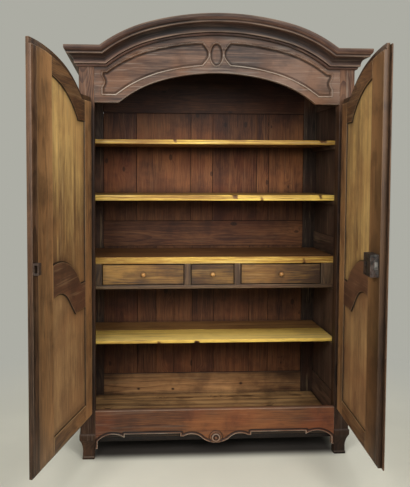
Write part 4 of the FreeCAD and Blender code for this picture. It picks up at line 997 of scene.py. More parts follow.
def shelfMarks(points, low, high, topShade, edgeTone):
    # the front edge has stayed bright; painted shade on the top as dark as the given share, darker on the
    # underside, and growing towards the back on a bright shelf, whose top is lightened and paled towards
    # the front as painted light
    y, z = points[..., 1], points[..., 2]
    behind = smooth(y, low[1] + 2.5 * mm, low[1] + 6 * mm)
    under = behind * (z < (low[2] + high[2]) / 2)
    bright = topShade < 0.2
    dirtAndShade = np.clip(topShade * behind + (0.8 - topShade) * under, 0, 0.95)
    deep = smooth(y, low[1] + 0.1, high[1])
    dirtAndShade = np.maximum(dirtAndShade, 0.3 * bright * deep)
    top = (behind - under) * bright
    return {"dirtAndShade": dirtAndShade, "tone": edgeTone + (1.0 - edgeTone) * top, "wearAndHighlight": 0.5 * top * (1 - deep)}


def chipped(part, low, high, chips):
    # small breaks in a front arris: place along, half length and depth of each, less than 0 on the
    # lower arris
    points = part["points"]
    x, y, z = points[..., 0].copy(), points[..., 1].copy(), points[..., 2].copy()
    rise = smooth(z, low[2] + 4 * mm, high[2] - 4 * mm)
    for place, reach, depth in chips:
        near = smooth(y, low[1] + 9 * mm, low[1] + 2 * mm) * (rise if depth > 0 else 1 - rise)
        ragged = 0.7 + 0.3 * ripple(x, int(place * 1000) + 900, 0.02)
        notch = smooth(np.abs(x - place), reach, 0.3 * reach) * ragged
        points[..., 2] -= depth * notch * near
        points[..., 1] += 0.7 * abs(depth) * notch * near
        broken = np.clip(1.6 * notch * near, 0, 1)
        part["dirtAndShade"] = np.maximum(part["dirtAndShade"], 0.95 * broken)
        part["tone"] = part["tone"] - 1.5 * broken
    return part


lowRail = {
    "head": 0.3,  # no other rail of the back lies so low
    "knots": [(-0.405, 0.161), (-0.19, 0.157), (0.239, 0.186)],
    "knotRadius": 8 * mm,
    "knotWide": 1.3,
    "knotEdge": (1.2, 0.6),
    "headShade": (0.5, 0.08),  # painted shade towards the head: strength, and how far over the foot it begins
    "endShade": (0.3, -0.1, (0.3, 0.6)),  # painted shade towards the ends: strength, middle, and how far from it
    "joint": (3 * mm, 1 * mm),
    "most": 0.96,
    "columns": 260,
    "rows": 34,
    "arris": 2 * mm,
    # an even painted shade on its rear face
    "outside": 0.6,
    "seed": 365,
    "otherSeed": 350,
    "otherTone": 0.45,
}


def makeBackRails(setup):
    # the lowest rail is a finer grid, of the floor's wood, and has its knots at their own places
    # painted shade towards its head and its ends, dark knots, and a dark joint along its head
    def dirtAndShade(x, z):
        strength, rise = setup["headShade"]
        ends, middle, reach = setup["endShade"]
        shade = strength * smooth(z, low[2] + rise, high[2]) + ends * smooth(np.abs(x - middle), *reach)
        for place, height in setup["knots"]:
            spot = np.hypot((x - place) / setup["knotWide"], z - height) / setup["knotRadius"]
            shade = np.maximum(shade, smooth(spot, *setup["knotEdge"]))
        return np.clip(np.maximum(shade, smooth(high[2] - z, *setup["joint"])), 0, setup["most"])

    marks = {"dirtAndShade": dirtAndShade}
    rearMarks = {"dirtAndShade": lambda x, z: np.full(x.shape, setup["outside"])}
    parts = []
    for index, (low, high) in enumerate(boxesOf("back_rails")):
        if high[2] > setup["head"]:
            seed = setup["otherSeed"] + 17 * index
            part = boardPart(low, high, axisX, axisZ, seed, tone=setup["otherTone"])
            part.update(backMarks(part["points"], low, high))
        else:
            across = np.linspace(low[0], high[0], setup["columns"])
            part = slabPart(
                across, low[2], high[2], setup["rows"], lambda x, z: 0 * x, high[1] - low[1], setup["arris"],
                setup["seed"], marks, backMarks=rearMarks,
            )
            part["points"] = part["points"] + [0, low[1], 0]
        parts.append(part)
    mesh = makePiece("backRails", parts, "backWood", "back_wood", nodeBody["back_rails"], "back_rails").data
    mesh.materials.append(finishes["lowRailWood"])
    centres = np.empty(len(mesh.polygons) * 3, np.float32)
    mesh.polygons.foreach_get("center", centres)
    mesh.polygons.foreach_set("material_index", (centres[2::3] < setup["head"]).astype(np.int32))


boards = {
    "postRadius": 3 * mm,
    "back": {"radius": 2.5 * mm, "spread": 0.13, "step": 0.04, "sway": 0.0},
    "topRadius": 1.5 * mm,
    "caseRadius": 3 * mm,
    "unshadedTop": 1 * mm,  # this top depth of the floor boards is kept out of the painted shade below it
    "underFloor": 0.2,  # bearers below this height are painted black, a painted shade
}
sideBoards = [
    ("sideRails", "side_rails_", axisY, axisZ, "sideWood", "frame_wood", {}),
    ("sidePanels", "side_panels_", axisZ, axisY, "sideWood", "side_panel_wood", {}),
    ("rearPost", "rear_post_", axisZ, axisX, "rearPostWood", "frame_wood", {"radius": boards["postRadius"]}),
]
for label, node, along, across, finish, slot, shape in sideBoards:
    for word in ("Left", "Right"):
        boardsPiece(label + word, node + word.lower(), along, across, finish, slot, **shape)
makeBackRails(lowRail)
for word in ("Upper", "Lower"):
    boardsPiece("backBoards" + word, "back_boards_" + word.lower(), axisZ, axisX, "backWood", "back_wood",
                marks=backMarks, **boards["back"])
boardsPiece("topBoards", "top_boards", axisX, axisY, "rawWood", "plain_wood", radius=boards["topRadius"])
boardsPiece("floorBoards", "floor_boards", axisX, axisY, "floorWood", "shelf_wood",
            shadeBelow=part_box("floor_boards")[1].z - boards["unshadedTop"])
boardsPiece("shelfBearers", "shelf_bearers", axisY, axisZ, "sideWood", "plain_wood",
            shadeBelow=boards["underFloor"])
boardsPiece("drawerGuides", "drawer_guides", axisY, axisX, "rawWood", "plain_wood")
boardsPiece("caseFloor", "drawer_case_floor", axisX, axisY, "caseWood", "case_wood",
            radius=boards["caseRadius"])
boardsPiece("caseUprights", "drawer_case_uprights", axisZ, axisX, "caseWood", "case_wood")
print("carcass boards")

shelves = {  # piece: how dark the painted shade on the top of its front board is, the tone of its edge, and its chips
    "topShelf": (0.6, 0.0, [(0.61, 26 * mm, 7 * mm), (-0.21, 7 * mm, 2 * mm)]),
    "upperShelf": (0.6, 0.65, [(0.12, 20 * mm, 5 * mm), (0.27, 10 * mm, -5 * mm), (0.6, 9 * mm, 5 * mm)]),
    "middleShelf": (0.9, 0.12, [(0.51, 9 * mm, -3 * mm)]),
    "lowerShelf": (0.0, 0.8, [(-0.085, 16 * mm, -8 * mm), (-0.3, 7 * mm, -3 * mm)]),
}
shelfSetup = {
    "arris": 3 * mm,
    "step": 12 * mm,
    "frontDepth": 0.2,  # the front board of each shelf begins before this depth
    # painted shade on the shelves' rear boards
    "rearShade": 0.92,
}
for label, (topShade, edgeTone, chips) in shelves.items():
    node = label.replace("S", "_s")  # topShelf stands for the node top_shelf
    parts = []
    for index, (low, high) in enumerate(boxesOf(node)):
        seed = seedOf(label) + 17 * index
        part = boardPart(low, high, axisX, axisY, seed, shelfSetup["arris"], step=shelfSetup["step"])
        inFront = low[1] < shelfSetup["frontDepth"]
        shadeAndDirt = topShade if inFront else shelfSetup["rearShade"]
        part.update(shelfMarks(part["points"], low, high, shadeAndDirt, edgeTone))
        parts.append(chipped(part, low, high, chips) if inFront else part)
    makePiece(label, parts, "shelfWood", "shelf_wood", "carcass", node)
print("shelves")

foot = {
    "kneeTop": 137 * mm,
    "kneeBottom": 110 * mm,
    "kneeBulge": 5 * mm,
    "ankleHeight": 32 * mm,
    "ankleInset": 12 * mm,
    "innerInset": 6 * mm,
    "shoeHeight": 14 * mm,
    "shoeStep": 2 * mm,
    "backInset": 4 * mm,
    "scrollRadius": 130 * mm,
    "postDepth": 60 * mm,
    "arris": 4 * mm,
    "darkHeights": (0, 0.24, 0.3, 1.82, 1.88),
    "darkShares": (0.92, 0.84, 0.74, 0.74, 0.0),
    "pale": [("shoeHeight", 2 * mm, 0.9), ("kneeTop", 4 * mm, 0.2)],  # painted highlights at the shoe and the knee: level, half width and strength
    "tone": (0.4, 0.25, (0.3, 0.1)),  # of the post, what the foot adds, and the heights between
    # how much less dark the left foot is, and the heights between which that fades
    "leftLessDark": (0.16, (0.3, 0.2)),
}


def outerEdge(setup, z):
    # how far the foot's outer edge stands out from the post's face at each height
    ankle, knee = (-setup["ankleInset"], setup["ankleHeight"]), (setup["kneeBulge"], setup["kneeBottom"])
    shoe = ankle[0] + setup["shoeStep"]
    scroll = arcPoints(ankle, knee, setup["scrollRadius"], 1, 4 * mm)
    heights = [0, setup["shoeHeight"], setup["shoeHeight"] + setup["shoeStep"], *scroll[:, 1]]
    outs = [shoe, shoe, ankle[0], *scroll[:, 0]]
    heights += [setup["kneeTop"], setup["kneeTop"] + setup["kneeBulge"], 3]
    outs += [knee[0], 0, 0]
    return np.interp(z, heights, outs)


def postPart(setup, side, head):
    # rounded rectangles carried up the post, whose four sides follow the foot's outlines
    low = np.concatenate([[0, 1, 3, 7, 12, 14, 15, 16, 18], np.arange(22, 146, 3)]) * mm
    z = np.concatenate([low, np.linspace(0.15, head - 2 * mm, 60), [head]])
    tip = np.interp(z, [0, 1 * mm, 3 * mm], [2 * mm, 0.8 * mm, 0])
    out = outerEdge(setup, z) - tip
    levels = [0, setup["ankleHeight"], setup["kneeBottom"]]
    insets = setup["innerInset"], setup["backInset"]
    inner, back = (np.interp(z, levels, [inset, inset, 0]) + tip for inset in insets)
    x0, x1 = carcass["openingHalf"] + inner, carcass["postOuter"] + out
    y0, y1 = -out, setup["postDepth"] - back
    sizes = zip((x1 - x0) / 2, (y1 - y0) / 2)
    loops = np.array([roundedLoop(*size, setup["arris"]) for size in sizes])
    across = (((x0 + x1) / 2)[:, None] + loops[..., 0]) * side
    points = stacked(across, ((y0 + y1) / 2)[:, None] + loops[..., 1], z[:, None])
    wearAndHighlight = sum(strength * hump(z - setup[key], width) for key, width, strength in setup["pale"])
    plain, more, heights = setup["tone"]
    tone = plain + more * smooth(z, *heights)
    cleaner, heights = setup["leftLessDark"]
    dirtAndShade = np.interp(z, setup["darkHeights"], setup["darkShares"])
    dirtAndShade = dirtAndShade - cleaner * (side < 0) * smooth(z, *heights)
    grain = grainOf(points, axisZ, axisX, 90 + side)
    return partOf(points, grain, tone[:, None], wearAndHighlight[:, None], dirtAndShade[:, None])


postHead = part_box("front_post_left")[1].z
for side, word in ((-1, "Left"), (1, "Right")):
    node = "front_post_" + word.lower()
    makePiece("frontPost" + word, [postPart(foot, side, postHead)], "postWood", "frame_wood", "carcass", node)
print("posts and feet")

frieze = {
    "thickness": 32 * mm,
    "spacing": 2.6 * mm,
    "arris": 3 * mm,
    "lowerBand": 42 * mm,  # plain band between the arch and the sunk fields
    "upperBandMiddle": 34 * mm,
    "upperBandEnd": 24 * mm,
    "sunk": 7 * mm,
    "step": 8 * mm,
    "bead": 6 * mm,  # half-round bead round each field
    "beadProud": 2.2 * mm,
    "endX": 594 * mm,
    "notchX": 582 * mm,
    "ovalX": -10 * mm,
    "ovalZ": 2116 * mm,
    "ovalHalf": (33 * mm, 57 * mm),
    "arcTip": 74 * mm,  # from the oval's middle to the tips of the fields' inner ends
    "arcBulge": 40 * mm,
    "cornerRise": 30 * mm,  # the straight part of each field's outer end
    "curlFoot": 34 * mm,  # and the hollow curve over it
    "curlHead": 20 * mm,
    "curlStep": 4 * mm,
    "ditch": (1.6 * mm, 2 * mm),  # depth and half width of the groove at the foot of the step
    "groove": (1.6 * mm, 1.6 * mm),  # and of the one outside the bead
    "level": 2.2 * mm,  # the face lies this far behind the front of the solid
    "rows": 110,
    "seed": 411,
}


def friezeFields(setup):
    # outlines of the two sunk fields and of the oval between them
    fields = []
    end, reach = setup["endX"], setup["endX"] - setup["notchX"]
    for side in (-1, 1):
        middle = abs(setup["ovalX"] + side * setup["arcTip"])
        inner = abs(setup["ovalX"] + side * setup["arcBulge"])
        shoulder = openingArch.shoulder(setup["lowerBand"])[0]
        across = np.linspace(middle, shoulder, 60)
        bottom = stacked(across, openingArch.height(setup["lowerBand"], across))
        topX = np.linspace(end, middle, 70)
        more = setup["upperBandEnd"] - setup["upperBandMiddle"]
        gap = setup["upperBandMiddle"] + more * (topX / end) ** 2
        top = stacked(topX, crownArch.height(0, topX) - gap)
        floor, roof = bottom[-1, 1], top[0, 1]
        corner = np.array([[end, floor], [end, floor + setup["cornerRise"]]])
        curl = np.linspace(0, math.pi, 14)
        foot, head = floor + setup["curlFoot"], roof - setup["curlHead"]
        curve = stacked(end - reach * np.sin(curl), foot + (head - foot) * curl / math.pi)
        tip = [[end, head + setup["curlStep"]]]
        turn = np.linspace(0, math.pi, 16)[1:-1]
        fall = (top[-1, 1] - bottom[0, 1]) * turn / math.pi
        back = stacked(middle - (middle - inner) * np.sin(turn), top[-1, 1] - fall)
        line = np.vstack([bottom, corner, curve, tip, top, back])
        line[:, 0] *= side
        fields.append(anticlockwise(line))
    turn = np.linspace(0, 2 * math.pi, 40, endpoint=False)
    wide, high = setup["ovalHalf"]
    oval = stacked(setup["ovalX"] + wide * np.cos(turn), setup["ovalZ"] + high * np.sin(turn))
    return [*fields, oval]


def friezeDistance(fields):
    # distance into the nearest field, less than 0 outside them all
    def within(x, z):
        best = np.full(x.shape, -1.0)
        for line in fields:
            away = distanceTo(line, x, z, closed=True)
            best = np.maximum(best, np.where(inside(line, x, z), away, -away))
        return best
    return within


def friezeRelief(setup, depthIn):
    # a half-round bead round each field, a step down behind it and a fine groove at its foot
    def front(x, z):
        within = depthIn(x, z)
        bead = np.clip(1 - (within / (setup["bead"] / 2) + 1) ** 2, 0, 1)
        depth = setup["sunk"] * smooth(within, 0, setup["step"])
        depth += setup["ditch"][0] * hump(within - setup["step"], setup["ditch"][1])
        depth += setup["groove"][0] * hump(within + setup["bead"] + 1 * mm, setup["groove"][1])
        return depth + setup["level"] - setup["beadProud"] * np.sqrt(bead)
    return front


def friezeMarks(setup, depthIn):
    # painted highlights on the beads, mostly on the lower half and towards the ends, and pale over the opening;
    # painted shade at the foot of the step, most on the upper half, and under the crown
    def lower(x, z):
        # 1 on the lower half of the board, 0 on the upper one
        share = (z - openingArch.height(0, x)) / (crownArch.height(0, x) - openingArch.height(0, x))
        return smooth(share, 0.6, 0.35)

    def wearAndHighlight(x, z):
        within = depthIn(x, z)
        line = smooth(np.abs(within + 2 * mm), 3.4 * mm, 1 * mm)
        edge = smooth(z - openingArch.height(0, x), 6 * mm, 2 * mm) * 0.3
        broken = 0.5 + 0.5 * ripple(x, 31, 0.5)
        ends = smooth(np.abs(x), 0.36, 0.5) * smooth(np.abs(x), 0.59, 0.57)
        return np.clip(line * (0.04 + (0.6 * broken + 0.3 * ends) * lower(x, z)) + edge * broken, 0, 1)

    def dirtAndShade(x, z):
        within = depthIn(x, z)
        ditch = smooth(np.abs(within - setup["step"]), 8 * mm, 2 * mm)
        under = smooth(crownArch.height(0, x) - z, 22 * mm, 0)
        return np.clip(ditch * (0.75 - 0.35 * lower(x, z)) + 0.7 * under, 0, 0.9)

    def tone(x, z):
        plain = 0.45 - 0.12 * smooth(depthIn(x, z), 0, 30 * mm) + 0.1 * ripple(x, 12, 0.9)
        band = smooth(z - openingArch.height(0, x), 36 * mm, 20 * mm)
        return plain + 0.7 * smooth(x, 0, 0.45) - 0.04 * band
    return {"wearAndHighlight": wearAndHighlight, "dirtAndShade": dirtAndShade, "tone": tone}


openingHalf = carcass["openingHalf"]
friezeX = np.linspace(-openingHalf, openingHalf, int(2 * openingHalf / frieze["spacing"]))
friezeHigh = np.minimum(crownArch.height(80 * mm, friezeX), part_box("frieze_rail")[1].z)
friezeIn = friezeDistance(friezeFields(frieze))
friezePart = slabPart(
    friezeX, openingArch.height(0, friezeX), np.maximum(friezeHigh, postHead), frieze["rows"],
    friezeRelief(frieze, friezeIn), frieze["thickness"], frieze["arris"], frieze["seed"],
    friezeMarks(frieze, friezeIn),
)
makePiece("friezeBoard", [friezePart], "friezeWood", "frame_wood", "carcass", "frieze_rail")
print("frieze")

apron = {
    "thickness": 30 * mm,
    "top": 262 * mm,
    "edge": 135 * mm,
    "pendant": 80 * mm,
    "pendantHalf": 70 * mm,
    "pendantSide": 104 * mm,
    "lobeEnd": 172 * mm,
    "lobeFoot": 118 * mm,
    "lobeRadius": 84 * mm,
    "notchWidth": 16 * mm,
    "wingStart": 484 * mm,
    "wingFoot": 117 * mm,
    "wingRadius": 108 * mm,
    "earX": 625 * mm,
    "earTop": 100 * mm,
    "earInner": 620 * mm,
    "earFoot": 60 * mm,
    "bead": 8 * mm,
    "spacing": 3 * mm,
    "rosetteHeight": 109 * mm,
    "rosetteRadius": 27 * mm,
    "rosetteProud": 4 * mm,
    "bossRadius": 9 * mm,
    "bossProud": 9 * mm,
    "ringRadius": 36 * mm,
    "groove": (3.2 * mm, 2.4 * mm),  # depth and half width
    "arris": 2.5 * mm,
    "rows": 60,
    "seed": 523,
    # pale along the lower edge, wear with a painted highlight: how near
    "edgePale": (4 * mm, 1.5 * mm),
    "patches": (0.5, 0.4, 5, 0.22),  # least, more, seed and length of the ripple
    "topPale": (0.2, (5 * mm, 1 * mm)),
    # painted shade in the groove over the bead and in the ring round the rosette: strength, and how near
    "beadShade": (0.9, (8 * mm, 2 * mm)),
    "ringShade": (0.6, (6 * mm, 1 * mm)),
    "most": 0.9,
}


def apronEdge(setup):
    # the lower edge from the middle to the right post
    drop = setup["pendantSide"] - setup["pendant"]
    pendantRadius = (setup["pendantHalf"] ** 2 + drop**2) / (2 * drop)
    notch = setup["lobeEnd"] + setup["notchWidth"]
    corners = [
        (0, setup["pendant"], pendantRadius, -1),
        (setup["pendantHalf"], setup["pendantSide"], setup["lobeRadius"], 1),
        (setup["lobeEnd"], setup["lobeFoot"]),
        (notch, setup["lobeFoot"]),
        (notch + 0.2 * mm, setup["edge"]),
        (setup["wingStart"] - 0.2 * mm, setup["edge"]),
        (setup["wingStart"], setup["wingFoot"], setup["wingRadius"], 1),
        (setup["earX"], setup["earTop"]),
        (setup["earInner"] + 5.2 * mm, setup["earFoot"]),
        (openingHalf, setup["earFoot"]),
    ]
    return trace(corners, 3 * mm, closed=False)


apronRight = apronEdge(apron)
apronLine = np.vstack([(apronRight * [-1, 1])[::-1], apronRight[1:]])


def apronFront(x, z):
    # a rounded bead along the lower edge, a groove behind it, and a ring of groove round the rosette
    away = distanceTo(apronLine, x, z)
    ring = np.hypot(x, z - apron["rosetteHeight"])
    deep, wide = apron["groove"]
    groove = hump(away - apron["bead"] - 2 * mm, wide)
    groove += hump(ring - apron["ringRadius"], wide) * (z > apron["rosetteHeight"] - 12 * mm)
    return deep * np.clip(groove, 0, 1)


def apronWearAndHighlight(x, z):
    # pale along the lower edge, in patches, wear with a painted highlight, and a little along the top
    away = distanceTo(apronLine, x, z)
    least, more, seed, length = apron["patches"]
    strength, reach = apron["topPale"]
    edge = smooth(away, *apron["edgePale"]) * (least + more * ripple(x, seed, length))
    return np.clip(edge + strength * smooth(apron["top"] - z, *reach), 0, 1)


def apronShade(x, z):
    # painted shade where the distance from the edge or from the rosette is that of a groove
    away = distanceTo(apronLine, x, z)
    ring = np.hypot(x, z - apron["rosetteHeight"])
    (beadShade, beadWide), (ringShade, ringWide) = apron["beadShade"], apron["ringShade"]
    shade = beadShade * smooth(np.abs(away - apron["bead"] - 3 * mm), *beadWide)
    shade = shade + ringShade * smooth(np.abs(ring - apron["ringRadius"]), *ringWide)
    return np.clip(shade, 0, apron["most"])


def rosettePart(setup):
    # rings that close in on the middle: petals round a domed boss
    radius, boss = setup["rosetteRadius"], setup["bossRadius"]
    proud, bossProud = setup["rosetteProud"], setup["bossProud"]
    petalSteps, bossSteps = np.linspace(0.9, boss / radius * 1.05, 12), np.linspace(boss / radius, 0.01, 9)
    steps = np.concatenate([[1, 1, 0.985, 0.95], petalSteps, bossSteps])
    turn = np.linspace(0, 2 * math.pi, 72, endpoint=False)
    away = (steps * radius)[:, None]
    petal = 0.72 + 0.28 * np.abs(np.cos(turn * 4))[None, :] ** 0.7
    share = np.clip((away - boss) / (radius - boss), 0, 1)
    swell = np.sin(np.minimum(share * 1.25, 1) * math.pi) * 0.6 + 0.5
    dome = bossProud * np.sqrt(np.clip(1 - (away / boss) ** 2, 0, 1)) * 0.75 + 0.25 * bossProud
    height = np.where(away > boss, proud * petal * np.clip(swell, 0, 1), dome)
    height[0] = -1 * mm
    height[1] = 0.3 * proud
    points = stacked(away * np.cos(turn), -height, setup["rosetteHeight"] + away * np.sin(turn))
    # painted shade in the hollow round the boss and towards the rim, painted highlights on the ring and the boss
    hollow = 0.9 * smooth(np.abs(away - 1.25 * boss), 5 * mm, 1 * mm)
    hollow = np.clip(hollow + 0.7 * smooth(away, 0.85 * radius, radius), 0, 0.95)
    crest = 0.35 * smooth(np.abs(away - 0.7 * radius), 4 * mm, 1 * mm) + 0.3 * smooth(away, 0.4 * boss, 0)
    return partOf(points, grainOf(points, axisX, axisZ, 77), 0.4, crest, hollow)


apronX = np.linspace(-openingHalf, openingHalf, int(2 * openingHalf / apron["spacing"]))
apronX = np.unique(np.round(np.concatenate([apronX, apronLine[:, 0]]), 5))
apronLow = np.interp(apronX, apronLine[:, 0], apronLine[:, 1])
apronMarks = {"wearAndHighlight": apronWearAndHighlight, "dirtAndShade": apronShade}
apronPart = slabPart(
    apronX, apronLow, apron["top"], apron["rows"], apronFront, apron["thickness"], apron["arris"],
    apron["seed"], apronMarks,
)
makePiece("apron", [apronPart, rosettePart(apron)], "apronWood", "apron_wood", "carcass", "apron_rail")
print("apron")

crown = {
    "neck": 8 * mm,
    "beadHeight": 14 * mm,
    "beadRadius": 8 * mm,
    "filletProjection": 22 * mm,
    "filletHeight": 10 * mm,
    "coveProjection": 53 * mm,
    "coveHeight": 34 * mm,
    "coveRadius": 38 * mm,
    "listProjection": 58 * mm,
    "listHeight": 8 * mm,
    "ovoloHeight": 20 * mm,
    "ovoloRadius": 26 * mm,
    "projection": 70 * mm,
    "bandHeight": 11 * mm,
    "eased": 1 * mm,  # how much each sharp corner of the profile is cut off
    "steps": {"middle": 30, "end": 30, "flat": 12},
    # painted highlights along the arrises: rise over the level, the level, and strength
    "pale": [(1 * mm, "fillet", 0.6), (1 * mm, "listel", 0.6), (-1 * mm, "head", 0.4)],
    "paleWide": (2.6 * mm, 0.8 * mm),
    "paleFrom": 15 * mm,  # no pale line lies nearer to the wall
    # painted shade in the cove and along the ovolo's foot
    "coveShade": (0.55, 5 * mm),
    "ovoloShade": (0.5, (5 * mm, 1 * mm)),
    "patches": (0.55, 0.45, 0.6),  # least, more and length of the ripple
}


def crownLevels(setup):
    # heights at which the bead, the fillet, the cove, the listel, the ovolo and the band end
    keys = ("fillet", "cove", "listel", "ovolo", "band", "head")
    steps = [setup[step + "Height"] for step in ("bead", "fillet", "cove", "list", "ovolo", "band")]
    return dict(zip(keys, np.cumsum(steps)))


def crownProfile(setup):
    # projection and height from the wall's foot, up over the front and back along the top
    level, cut = crownLevels(setup), setup["eased"]
    neck, front = setup["neck"], setup["projection"]
    fillet, listel = setup["filletProjection"], setup["listProjection"]
    corners = [
        (neck, 0, setup["beadRadius"], -1),
        (neck, level["fillet"]),
        (fillet - cut, level["fillet"]),
        (fillet, level["fillet"] + cut),
        (fillet, level["cove"], setup["coveRadius"], 1),
        (setup["coveProjection"], level["listel"]),
        (listel - cut, level["listel"]),
        (listel, level["listel"] + cut),
        (listel, level["ovolo"], setup["ovoloRadius"], -1),
        (front, level["band"]),
        (front, level["head"] - 2 * cut),
        (front - 2 * cut, level["head"]),
        (0, level["head"]),
        (0, 0),
    ]
    return trace(corners, 3 * mm)


def crownMarks(setup, profile, length, seed):
    # painted highlights on the arrises of the fillets and the top, painted shade in the cove and the corner over
    # the bead
    out, up = profile[:, 0], profile[:, 1]
    level = crownLevels(setup)
    pale = np.zeros(len(out))
    for rise, key, strength in setup["pale"]:
        arris = smooth(np.abs(up - (level[key] + rise)), *setup["paleWide"])
        pale = np.maximum(pale, strength * arris * (out > setup["paleFrom"]))
    cove, listel = level["cove"], level["listel"]
    strength, reach = setup["coveShade"]
    grimeAndShade = strength * smooth(up, cove, cove + reach) * smooth(up, listel, listel - reach)
    strength, reach = setup["ovoloShade"]
    grimeAndShade = np.maximum(grimeAndShade, strength * smooth(np.abs(up - level["ovolo"]), *reach))
    least, more, wave = setup["patches"]
    broken = least + more * ripple(length, seed, wave)
    return {"wearAndHighlight": pale * broken[:, None], "dirtAndShade": np.broadcast_to(grimeAndShade, (len(length), len(out)))}


def crownFrontPart(setup, profile):
    # each point of the profile follows its own line parallel to the arch: over the middle arc, round the
    # end arc, then out along the flat, and the same mirrored
    out, up = profile[:, 0], profile[:, 1]
    arch = crownArch
    share = {key: np.linspace(0, 1, count)[:, None] for key, count in setup["steps"].items()}
    shoulderX = np.array([arch.shoulder(rise)[0] for rise in up])
    last = np.arcsin((shoulderX - arch.endCentreX) / (arch.endRadius + up))
    middleTurn = share["middle"] * arch.turn
    endTurn = arch.turn + share["end"][1:] * (last - arch.turn)
    middle, end = arch.midRadius + up, arch.endRadius + up
    flatX = shoulderX + share["flat"][1:] * (carcass["postOuter"] + out - shoulderX)
    x = np.vstack([middle * np.sin(middleTurn), arch.endCentreX + end * np.sin(endTurn), flatX])
    z = np.vstack([
        arch.midCentreZ + middle * np.cos(middleTurn),
        arch.spring - arch.drop + end * np.cos(endTurn),
        arch.spring + up + 0 * flatX,
    ])
    x, z = np.vstack([-x[:0:-1], x]), np.vstack([z[:0:-1], z])
    length = lengthAlong(x[:, 0], z[:, 0])
    grain = stacked(length[:, None] + 5, up, out + 0.05)
    return {**partOf(stacked(x, -out, z), grain), **crownMarks(setup, profile, length, 61)}


def crownReturnPart(setup, profile, side):
    # the profile carried from the front mitre straight back to the rear
    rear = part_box("cornice_returns")[1].y
    out, up = profile[:, 0], profile[:, 1]
    places = np.concatenate([[0], np.linspace(0.02, rear, 16)])
    points = stacked((carcass["postOuter"] + out) * side, places[:, None], carcass["crownFoot"] + up)
    points[0, :, 1] = -out
    grain = stacked(points[..., 1] + 20 + side, up, out + 0.05)
    marks = crownMarks(setup, profile, places, 71)
    if side < 0:
        marks["wearAndHighlight"] = np.maximum(marks["wearAndHighlight"], 0.3 + 0.2 * ripple(places, 8, 0.3)[:, None])
    return {**partOf(points, grain), **marks}


profile = crownProfile(crown)
run = crownFrontPart(crown, profile)
makePiece("crownFront", [run], "crownWood", "crown_wood", "carcass", "cornice_front")
returns = [crownReturnPart(crown, profile, side) for side in (-1, 1)]
makePiece("crownReturns", returns, "crownWood", "crown_wood", "carcass", "cornice_returns")
print("crown moulding")

knob = {
    "neckRadius": 6 * mm,
    "neckLength": 7 * mm,
    "headRadius": 12.5 * mm,
    "headLength": 15 * mm,
    "collarRadius": 8.5 * mm,
}


def turnedPart(centre, axis, lengths, radii, seed, around=28, tone=0.5):
    # circles of the given radii at the given lengths along one axis, closed at both ends
    turn = np.linspace(0, 2 * math.pi, around, endpoint=False)
    radii = np.maximum(radii, 0.1 * mm)
    points = np.empty((len(lengths), around, 3))
    points[..., axis] = centre[axis] + np.asarray(lengths)[:, None]
    others = [side for side in (axisX, axisY, axisZ) if side != axis]
    for other, wave in zip(others, (np.cos(turn), np.sin(turn))):
        points[..., other] = centre[other] + radii[:, None] * wave
    return partOf(points, grainOf(points, axisX, axisZ, seed), tone)


def knobPart(setup, x, y, z, seed):
    # a collar, a neck and a domed head, turned about a line along -y
    neck, whole = setup["neckLength"], setup["neckLength"] + setup["headLength"]
    dome = np.linspace(0, math.pi / 2, 9)
    foot = [0, 0.4 * mm, 1.6 * mm, 2 * mm, 3.5 * mm, 5 * mm, neck - 0.5 * mm]
    lengths = np.concatenate([foot, neck + 1 * mm + (whole - neck - 1 * mm) * np.sin(dome)])
    collar, slim, wide = setup["collarRadius"], setup["neckRadius"] * 0.85, setup["headRadius"]
    stem = [collar - 0.4 * mm, collar, collar - 0.3 * mm, slim + 1 * mm, slim, slim + 0.6 * mm, wide * 0.86]
    radii = np.concatenate([stem, wide * np.cos(dome) ** 0.8])
    return turnedPart((x, y, z), axisY, -lengths, radii, seed, 40, 0.6)


drawerSetup = {
    "fronts": {"left": (0.6, 11), "centre": (0.45, 23), "right": (0.62, 37)},  # tone and seed of each
    "arris": 2.2 * mm,
    "step": 20 * mm,
    "trayArris": 1 * mm,
    "bottomArris": 0.5 * mm,
    "rimDark": 0.7,
    "rimWide": (7 * mm, 1 * mm),
    "rimHigh": (5 * mm, 1 * mm),
    "darkEnd": (0.42, 0.36, 0.2, 0.3),  # right front: its tone, how much darker, and from where to where
}


def makeDrawer(setup, word, tone, seed):
    # a front with dark rims, a tray of two sides and a back, a bottom and a turned knob
    def add(label, parts, finish, slot, sharp=34):
        name, body = word + "Drawer" + label, word + "_drawer"
        makePiece(name, parts, finish, slot, body, body + "_" + label.lower(), sharp=sharp)

    low, high = boxesOf(word + "_drawer_front")[0]
    front = boardPart(low, high, axisX, axisZ, seed, setup["arris"], tone, step=setup["step"])
    x, z = front["points"][..., 0], front["points"][..., 2]
    sides = smooth(np.minimum(x - low[0], high[0] - x), *setup["rimWide"])
    front["dirtAndShade"] = setup["rimDark"] * np.maximum(
        sides, smooth(np.minimum(z - low[2], high[2] - z), *setup["rimHigh"]))
    if word == "right":
        plain, darker, start, end = setup["darkEnd"]
        front["tone"] = plain - darker * smooth(x, low[0] + start, low[0] + end)
    add("Front", [front], "drawerWood", "drawer_wood")
    tray = []
    for index, box in enumerate(boxesOf(word + "_drawer_tray")):
        along = axisX if index == 2 else axisY
        tray.append(boardPart(*box, along, axisZ, seed + index, setup["trayArris"]))
    add("Tray", tray, "rawWood", "plain_wood")
    box = boxesOf(word + "_drawer_bottom")[0]
    add("Bottom", [boardPart(*box, axisX, axisY, seed + 9, setup["bottomArris"])], "rawWood", "plain_wood")
    turned = knobPart(knob, (low[0] + high[0]) / 2, low[1], (low[2] + high[2]) / 2, seed)
    add("Knob", [turned], "knobWood", "knob_wood", sharp=60)


